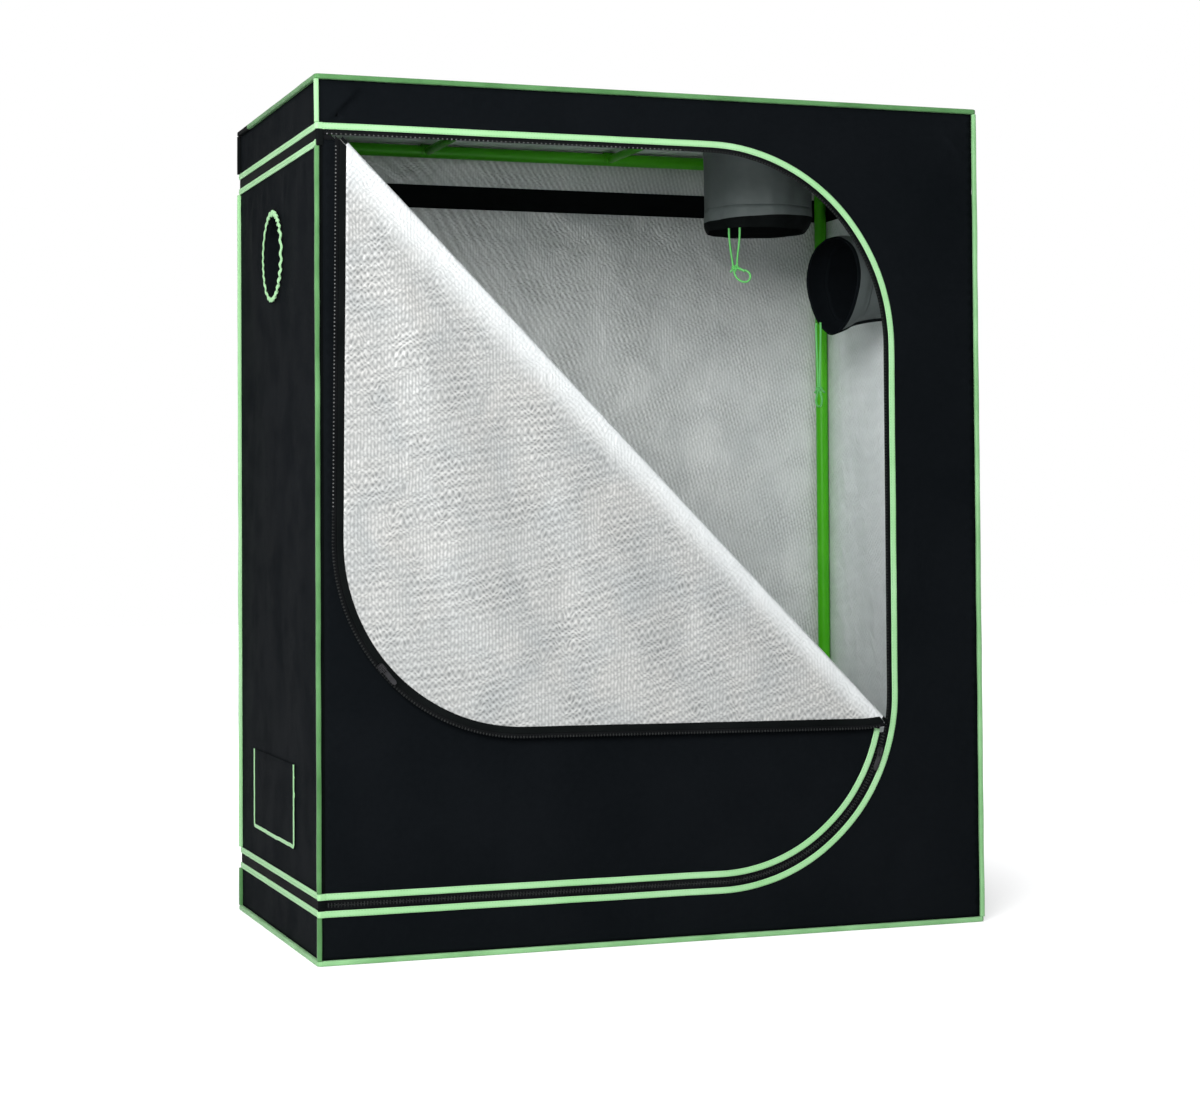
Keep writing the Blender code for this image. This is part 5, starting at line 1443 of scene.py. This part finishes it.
flap_low, flap_high = low("vent_flap"), high("vent_flap")
flap_loop = rectangle(flap_low.y, flap_low.z, flap_high.y, flap_high.z)
flat, triangles = cut_cloth([flap_loop], 0.01)
bow = 0.0006 * rise(distance_to(flat, [flap_loop]), 0.012, 0.05) * (1 + sway(flat, 0.07, 0.8, 61.0))
flap_x = flap_high.x - 0.0010
vent_cloth = hang(
    "vent_flap_cloth", flat, triangles,
    lambda spots: np.column_stack((flap_x - bow, spots[:, 0], spots[:, 1])),
    (-1, 0, 0), [CLOTH_BLACK, CLOTH_BLACK], 0.0016,
)
dress(vent_cloth, "vent_flap", "cloth_black", "vent_flap")
rim = Shape()
RIM = 0.0068
y0, y1, z0, z1 = flap_low.y + RIM / 2, flap_high.y - RIM / 2, flap_low.z + RIM / 2, flap_high.z
bend = 0.006
path = [Vector((y0, z1)), Vector((y0, z0 + bend))]
path += [Vector((y0 + bend * (1 - math.cos(t)), z0 + bend * (1 - math.sin(t)))) for t in np.linspace(0.3, 1.3, 4)]
path += [Vector((y0 + bend, z0)), Vector((y1 - bend, z0))]
path += [Vector((y1 - bend * (1 - math.sin(t)), z0 + bend * (1 - math.cos(t)))) for t in np.linspace(0.3, 1.3, 4)]
path += [Vector((y1, z0 + bend)), Vector((y1, z1))]
path = dense(path, 0.008, closed=False)
rim_rings = []
for k, spot in enumerate(path):
    ahead = (path[min(k + 1, len(path) - 1)] - path[max(k - 1, 0)]).normalized()
    across = Vector((ahead.y, -ahead.x))
    shift = 0.0012 * noise.noise(Vector((spot.x * 60, spot.y * 60, 3.3)))
    ring = []
    for a, b in tape_section(RIM, 0.0030):
        ring.append(Vector((flap_high.x - 0.0016 + b, *(spot + across * (a + shift)))))
    rim_rings.append(ring)
rim_piece = dress(rim.sweep(rim_rings).make("vent_flap_rim", [BINDING]), "vent_flap", "binding_green")
net_loop = rectangle(VENT_LOW.y, VENT_LOW.z, VENT_HIGH.y, VENT_HIGH.z)
flat, triangles = cut_cloth([net_loop], 0.014)
net = hang(
    "vent_net_cloth", flat, triangles,
    lambda spots: np.column_stack((np.full(len(spots), (VENT_LOW.x + VENT_HIGH.x) / 2), spots[:, 0], spots[:, 1])),
    (1, 0, 0), [NET], 0.0008,
)
dress(net, "tent", "net_black", "vent_net")
declare(net, [net_loop])

# %% [markdown]
# The loose tray on the floor catches spilt water. It is one sheet with its edges turned up, so it is a
# swept profile: down the lip, round a soft bend and across the floor. It is its own body.

# %% Floor tray

tray_low, tray_high = low("floor_tray"), high("floor_tray")
TRAY_SHEET = 0.0014
lip, bend = tray_high.z - tray_low.z, 0.008
tray_x, tray_y = tray_high.x - TRAY_SHEET / 2, tray_high.y - TRAY_SHEET / 2
profile = [(0.0, tray_high.z - lip * k / 5) for k in range(5)]
for t in np.linspace(0, math.pi / 2, 6):
    profile.append((bend * (1 - math.cos(t)), tray_low.z + TRAY_SHEET / 2 + bend * (1 - math.sin(t))))
tray = Shape()
tray_rings = []
for inset, z in profile:
    ring = square_ring(tray_x - inset, tray_y - inset, 0.02 - inset * 0.5, 5)
    tray_rings.append([Vector((*spot, z)) for spot, away in ring])


def even_ring(ring, count):
    """The same closed ring with a chosen number of points, starting at the same corner."""
    reach = [0.0]
    for k in range(len(ring)):
        reach.append(reach[-1] + (ring[(k + 1) % len(ring)] - ring[k]).length)
    found = []
    for k in range(count):
        far = reach[-1] * k / count
        n = max(i for i in range(len(ring)) if reach[i] <= far + 1e-9)
        part = (far - reach[n]) / max(1e-9, reach[n + 1] - reach[n])
        found.append(ring[n].lerp(ring[(n + 1) % len(ring)], part))
    return found


tray_rings = [even_ring(ring, 240) for ring in tray_rings]
tray.sweep(tray_rings, caps=False)
tray.faces.append(tuple(range(len(tray.points) - 240, len(tray.points))))
tray.uvs.append([(p.x, p.y) for p in tray.points[-240:]])
tray.slots.append(0)
tray_piece = tray.make("floor_tray_sheet", [LINING_PAINTED_DARKER])
thicken(tray_piece, TRAY_SHEET)
dress(tray_piece, "tray", "lining_silver", "floor_tray")

# %% [markdown]
# The frame is green painted steel tube. The solids have sixteen flat sides, which would show as facets
# against the silver lining, so each tube gets a round one in its place, with softly rolled ends. The
# corner joints, sliders and pulls keep their solids and only get a finish.

# %% Tubes, bars and hard parts


def round_tube(name, node_name):
    """A smooth tube through the middle of a tube solid's box, hollow at its ends."""
    a, b = low(node_name), high(node_name)
    size = b - a
    axis = max(range(3), key=lambda k: size[k])
    radius = min(size[k] for k in range(3) if k != axis) / 2
    middle = (a + b) / 2
    start, end = middle.copy(), middle.copy()
    start[axis], end[axis] = a[axis], b[axis]
    ahead = (end - start).normalized()
    side = ahead.orthogonal().normalized()
    across = ahead.cross(side)
    length = (end - start).length
    spots = [(0, radius - 0.0012), (0, radius - 0.0005), (0.0004, radius)]
    spots += [(length * k / 24, radius) for k in range(1, 24)]
    spots += [(length - 0.0004, radius), (length, radius - 0.0005), (length, radius - 0.0012)]
    spots += [(length - 0.02, radius - 0.0012), (0.02, radius - 0.0012)]
    rings = []
    for far, reach in spots:
        spot = start + ahead * far
        rings.append([spot + reach * (math.cos(t) * side + math.sin(t) * across) for t in round_turns(40)])
    return dress(Shape().sweep(rings, closed=True).make(name, [TUBE_PAINT], 50), "tent", "tube_green", node_name)


for node_name in [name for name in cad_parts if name.startswith(("post_", "top_rail_", "bottom_rail_"))]:
    round_tube(node_name + "_tube", node_name)
FINISHES = {
    "corner_bottom": PLASTIC, "corner_top": PLASTIC, "zip_slider": METAL, "zip_pull": METAL, "hanging_bar": TUBE_PAINT,
}
for node_name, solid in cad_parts.items():
    for start, used in FINISHES.items():
        if node_name.startswith(start):
            for slot in solid.material_slots:
                slot.material = used
print("tubes are round and hard parts are finished")

# %% [markdown]
# What repeats is left to Geometry Nodes: the coil of the zip, and the stitches that hold every line of
# binding. A curve is sampled at an even pitch, a small round shape is placed on each point and turned
# along the curve, and the result is made real, because the export drops instances.

# %% The tree that places threads and teeth along a path


def path_tree(name, across):
    """Instances along a curve. across=True turns them to lie across it, as the coil of a zip does."""
    tree = bpy.data.node_groups.new(name, "GeometryNodeTree")
    face = tree.interface
    face.new_socket("Geometry", in_out="INPUT", socket_type="NodeSocketGeometry")
    for label, value in (("Pitch", 0.005), ("Length", 0.003), ("Thickness", 0.001)):
        face.new_socket(label, in_out="INPUT", socket_type="NodeSocketFloat").default_value = value
    face.new_socket("Material", in_out="INPUT", socket_type="NodeSocketMaterial")
    face.new_socket("Geometry", in_out="OUTPUT", socket_type="NodeSocketGeometry")
    given, result = tree.nodes.new("NodeGroupInput"), tree.nodes.new("NodeGroupOutput")
    points = node(tree, "GeometryNodeCurveToPoints", {"Curve": given.outputs["Geometry"]}, mode="LENGTH")
    tree.links.new(given.outputs["Pitch"], points.inputs["Length"])
    bead = node(tree, "GeometryNodeMeshIcoSphere", {"Radius": 0.5, "Subdivisions": 1 if not across else 2})
    along = node(tree, "FunctionNodeAlignRotationToVector", {"Vector": points.outputs["Tangent"]}, axis="X")
    turn = along.outputs[0]
    if across:
        facing = {"Rotation": turn, "Vector": (0, -1, 0)}
        turn = node(tree, "FunctionNodeAlignRotationToVector", facing, axis="Z", pivot_axis="X").outputs[0]
    size = node(tree, "ShaderNodeCombineXYZ")
    tree.links.new(given.outputs["Thickness" if across else "Length"], size.inputs["X"])
    tree.links.new(given.outputs["Length" if across else "Thickness"], size.inputs["Y"])
    tree.links.new(given.outputs["Thickness"], size.inputs["Z"])
    beads = {"Points": points.outputs["Points"], "Instance": bead.outputs[0]}
    placed = node(tree, "GeometryNodeInstanceOnPoints", beads)
    tree.links.new(turn, placed.inputs["Rotation"])
    tree.links.new(size.outputs[0], placed.inputs["Scale"])
    real = node(tree, "GeometryNodeRealizeInstances", {0: placed.outputs[0]})
    smooth = node(tree, "GeometryNodeSetShadeSmooth", {0: real.outputs[0]})
    coat = node(tree, "GeometryNodeSetMaterial", {"Geometry": smooth.outputs[0]})
    tree.links.new(given.outputs["Material"], coat.inputs["Material"])
    tree.links.new(coat.outputs[0], result.inputs[0])
    return tree


STITCHES, COILS = path_tree("stitches along a seam", False), path_tree("coil of a zip", True)


def along_paths(name, tree, paths, body, slot, finish, pitch, length, thickness):
    """Runs the tree on paths, and keeps the result as a plain mesh piece on a body."""
    curve = bpy.data.curves.new(name, "CURVE")
    curve.dimensions = "3D"
    for path in paths:
        spline = curve.splines.new("POLY")
        spline.points.add(len(path) - 1)
        for spot, point in zip(spline.points, path):
            spot.co = (*point, 1)
    source = bpy.data.objects.new(name + "_path", curve)
    bpy.context.scene.collection.objects.link(source)
    modifier = source.modifiers.new("repeat", "NODES")
    modifier.node_group = tree
    wanted = {"Pitch": pitch, "Length": length, "Thickness": thickness, "Material": finish}
    for socket in tree.interface.items_tree:
        if socket.item_type == "SOCKET" and socket.in_out == "INPUT" and socket.name in wanted:
            modifier[socket.identifier] = wanted[socket.name]
    bpy.context.view_layer.update()
    mesh = bpy.data.meshes.new_from_object(source.evaluated_get(bpy.context.evaluated_depsgraph_get()))
    bpy.data.objects.remove(source, do_unlink=True)
    made = bpy.data.objects.new(name, mesh)
    bpy.context.scene.collection.objects.link(made)
    dress(made, body, slot)
    print(name, len(mesh.polygons), "faces")
    return made


# %% Zip coils and stitches


def offset_path(stations, offset, y, place=upright):
    return [place(point - away * offset, y) for point, away in stations]


COIL_OFFSET = 0.0016


def on_top(station):
    """Whether a station is on the straight run along the top, short of the slider's run."""
    return station[1].y > 0.99 and station[0].x < 0.04


# Painted highlight: the straight top runs take the lighter coil, so their teeth show as bright dots. The rest of the
# coil stays black.
highlit_top_run = [station for station in outline() if on_top(station)]
upper_coil = upper_tape[3:-3]
straight = sum(on_top(station) for station in upper_coil)
for name, body, stations, offset, place, finish, pitch, width in (
    ("top_zip_coil", "tent", highlit_top_run, TEETH - COIL_OFFSET, upright, COIL_PAINTED_LIGHTER, 0.0080, 0.0030),
    ("frame_zip_coil", "tent", outline()[len(highlit_top_run):], TEETH - COIL_OFFSET, upright, DARK_COIL, 0.0056, 0.0048),
    ("door_zip_coil", "door", lower_tape, TEETH + COIL_OFFSET, upright, DARK_COIL, 0.0056, 0.0048),
    ("flap_zip_coil", "door_flap", upper_coil[:straight], TEETH + COIL_OFFSET, folded, COIL_PAINTED_LIGHTER, 0.0064, 0.0028),
    ("flap_curve_coil", "door_flap", upper_coil[straight:], TEETH + COIL_OFFSET, folded, DARK_COIL, 0.0056, 0.0048),
):
    y = DOOR_MID_Y + (COIL_OFFSET if place is folded else -COIL_OFFSET)
    along_paths(name, COILS, [offset_path(stations, offset, y, place)], body, "zip_black", finish, pitch, width, 0.0026)
STITCH_Y, SEAM = LINE_FAR - 0.0001, 0.0038
line_paths = [offset_path(outline(), offset, STITCH_Y) for offset in (-SEAM, SEAM)]
for sign in (-1, 1):
    for level in (UPPER_BAND, LOWER_BAND):
        spots = band_stations(GAP + 0.0031)
        line_paths.append([Vector((*spot, level + sign * (BAND / 2 - LINE / 2))) for spot, away in spots])
door_paths = [offset_path(lower_line, DOOR_LINE + offset, STITCH_Y) for offset in (-SEAM, SEAM)]
flap_paths = [offset_path(flap_run, DOOR_LINE, STITCH_Y, folded)]
for name, body, paths in (
    ("frame", "tent", line_paths), ("door", "door", door_paths), ("flap", "door_flap", flap_paths),
):
    along_paths(name + "_stitches", STITCHES, paths, body, "binding_green", THREAD, 0.0052, 0.0034, 0.0009)

# %% [markdown]
# A shop picture has a white ground without a horizon. The floor is a pale sheet that catches a soft
# shadow, and to the camera it and the world are plain white. Large soft lamps stand in front, so that
# light enters through the open door and fades towards the roof.

# %% Floor, world and lamps

scene = bpy.context.scene
scene.view_settings.view_transform = "Standard"


def seen_directly(tree):
    """1 for the camera's rays and their reflections, 0 for rays that only carry light."""
    path = node(tree, "ShaderNodeLightPath")
    seen = maths(tree, "MAXIMUM", path.outputs["Is Camera Ray"], path.outputs["Is Glossy Ray"])
    return maths(tree, "MAXIMUM", seen, path.outputs["Is Transmission Ray"])


def white_ground():
    made = bpy.data.materials.new("white ground")
    made.use_nodes = True
    tree = made.node_tree
    tree.nodes.clear()
    pale = node(tree, "ShaderNodeBsdfDiffuse", {"Color": (0.88, 0.88, 0.88, 1)})
    spot = node(tree, "ShaderNodeTexCoord").outputs["Object"]
    away = node(tree, "ShaderNodeVectorMath", {0: spot}, operation="LENGTH")
    fade = {"Value": away.outputs["Value"], "From Min": 0.74, "From Max": 1.5, "To Min": 0.62, "To Max": 1.0}
    strength = node(tree, "ShaderNodeMapRange", fade).outputs[0]
    glow = node(tree, "ShaderNodeEmission", {"Color": (1, 1, 1, 1), "Strength": strength})
    clear = node(tree, "ShaderNodeAddShader", {0: pale.outputs[0], 1: glow.outputs[0]})
    mixed = node(tree, "ShaderNodeMixShader", {0: seen_directly(tree), 1: pale.outputs[0], 2: clear.outputs[0]})
    tree.links.new(mixed.outputs[0], node(tree, "ShaderNodeOutputMaterial").inputs[0])
    return made


FAR = 14
corners = [(-FAR, -FAR, 0), (FAR, -FAR, 0), (FAR, FAR, 0), (-FAR, FAR, 0)]
ground = mesh_piece("ground", corners, [(0, 1, 2, 3)], [[(0, 0)] * 4], [white_ground()])
ground.location.z = -0.0008
world = bpy.data.worlds.new("studio")
scene.world = world
world.use_nodes = True
tree = world.node_tree
tree.nodes.clear()
soft = node(tree, "ShaderNodeBackground", {"Color": (0.93, 0.96, 1, 1), "Strength": 0.17})
white = node(tree, "ShaderNodeBackground", {"Color": (1, 1, 1, 1), "Strength": 1.0})
mixed = node(tree, "ShaderNodeMixShader", {0: seen_directly(tree), 1: soft.outputs[0], 2: white.outputs[0]})
tree.links.new(mixed.outputs[0], node(tree, "ShaderNodeOutputWorld").inputs[0])


def lamp(name, place, aim, size, power):
    made = bpy.data.objects.new(name, bpy.data.lights.new(name, "AREA"))
    made.data.shape = "RECTANGLE"
    made.data.size, made.data.size_y = size
    made.data.energy = power
    made.location = place
    made.rotation_euler = (Vector(aim) - Vector(place)).to_track_quat("-Z", "Y").to_euler()
    scene.collection.objects.link(made)


lamp("front_softbox", (-2.6, -4.2, 2.6), (0, 0, 0.8), (2.0, 2.0), 220)
lamp("left_softbox", (-4.2, -2.6, 1.6), (0.3, 0, 0.9), (1.8, 1.8), 64)
lamp("top_softbox", (0.6, -1.2, 4.0), (0, 0, 0.8), (3.0, 3.0), 20)
print("lit")
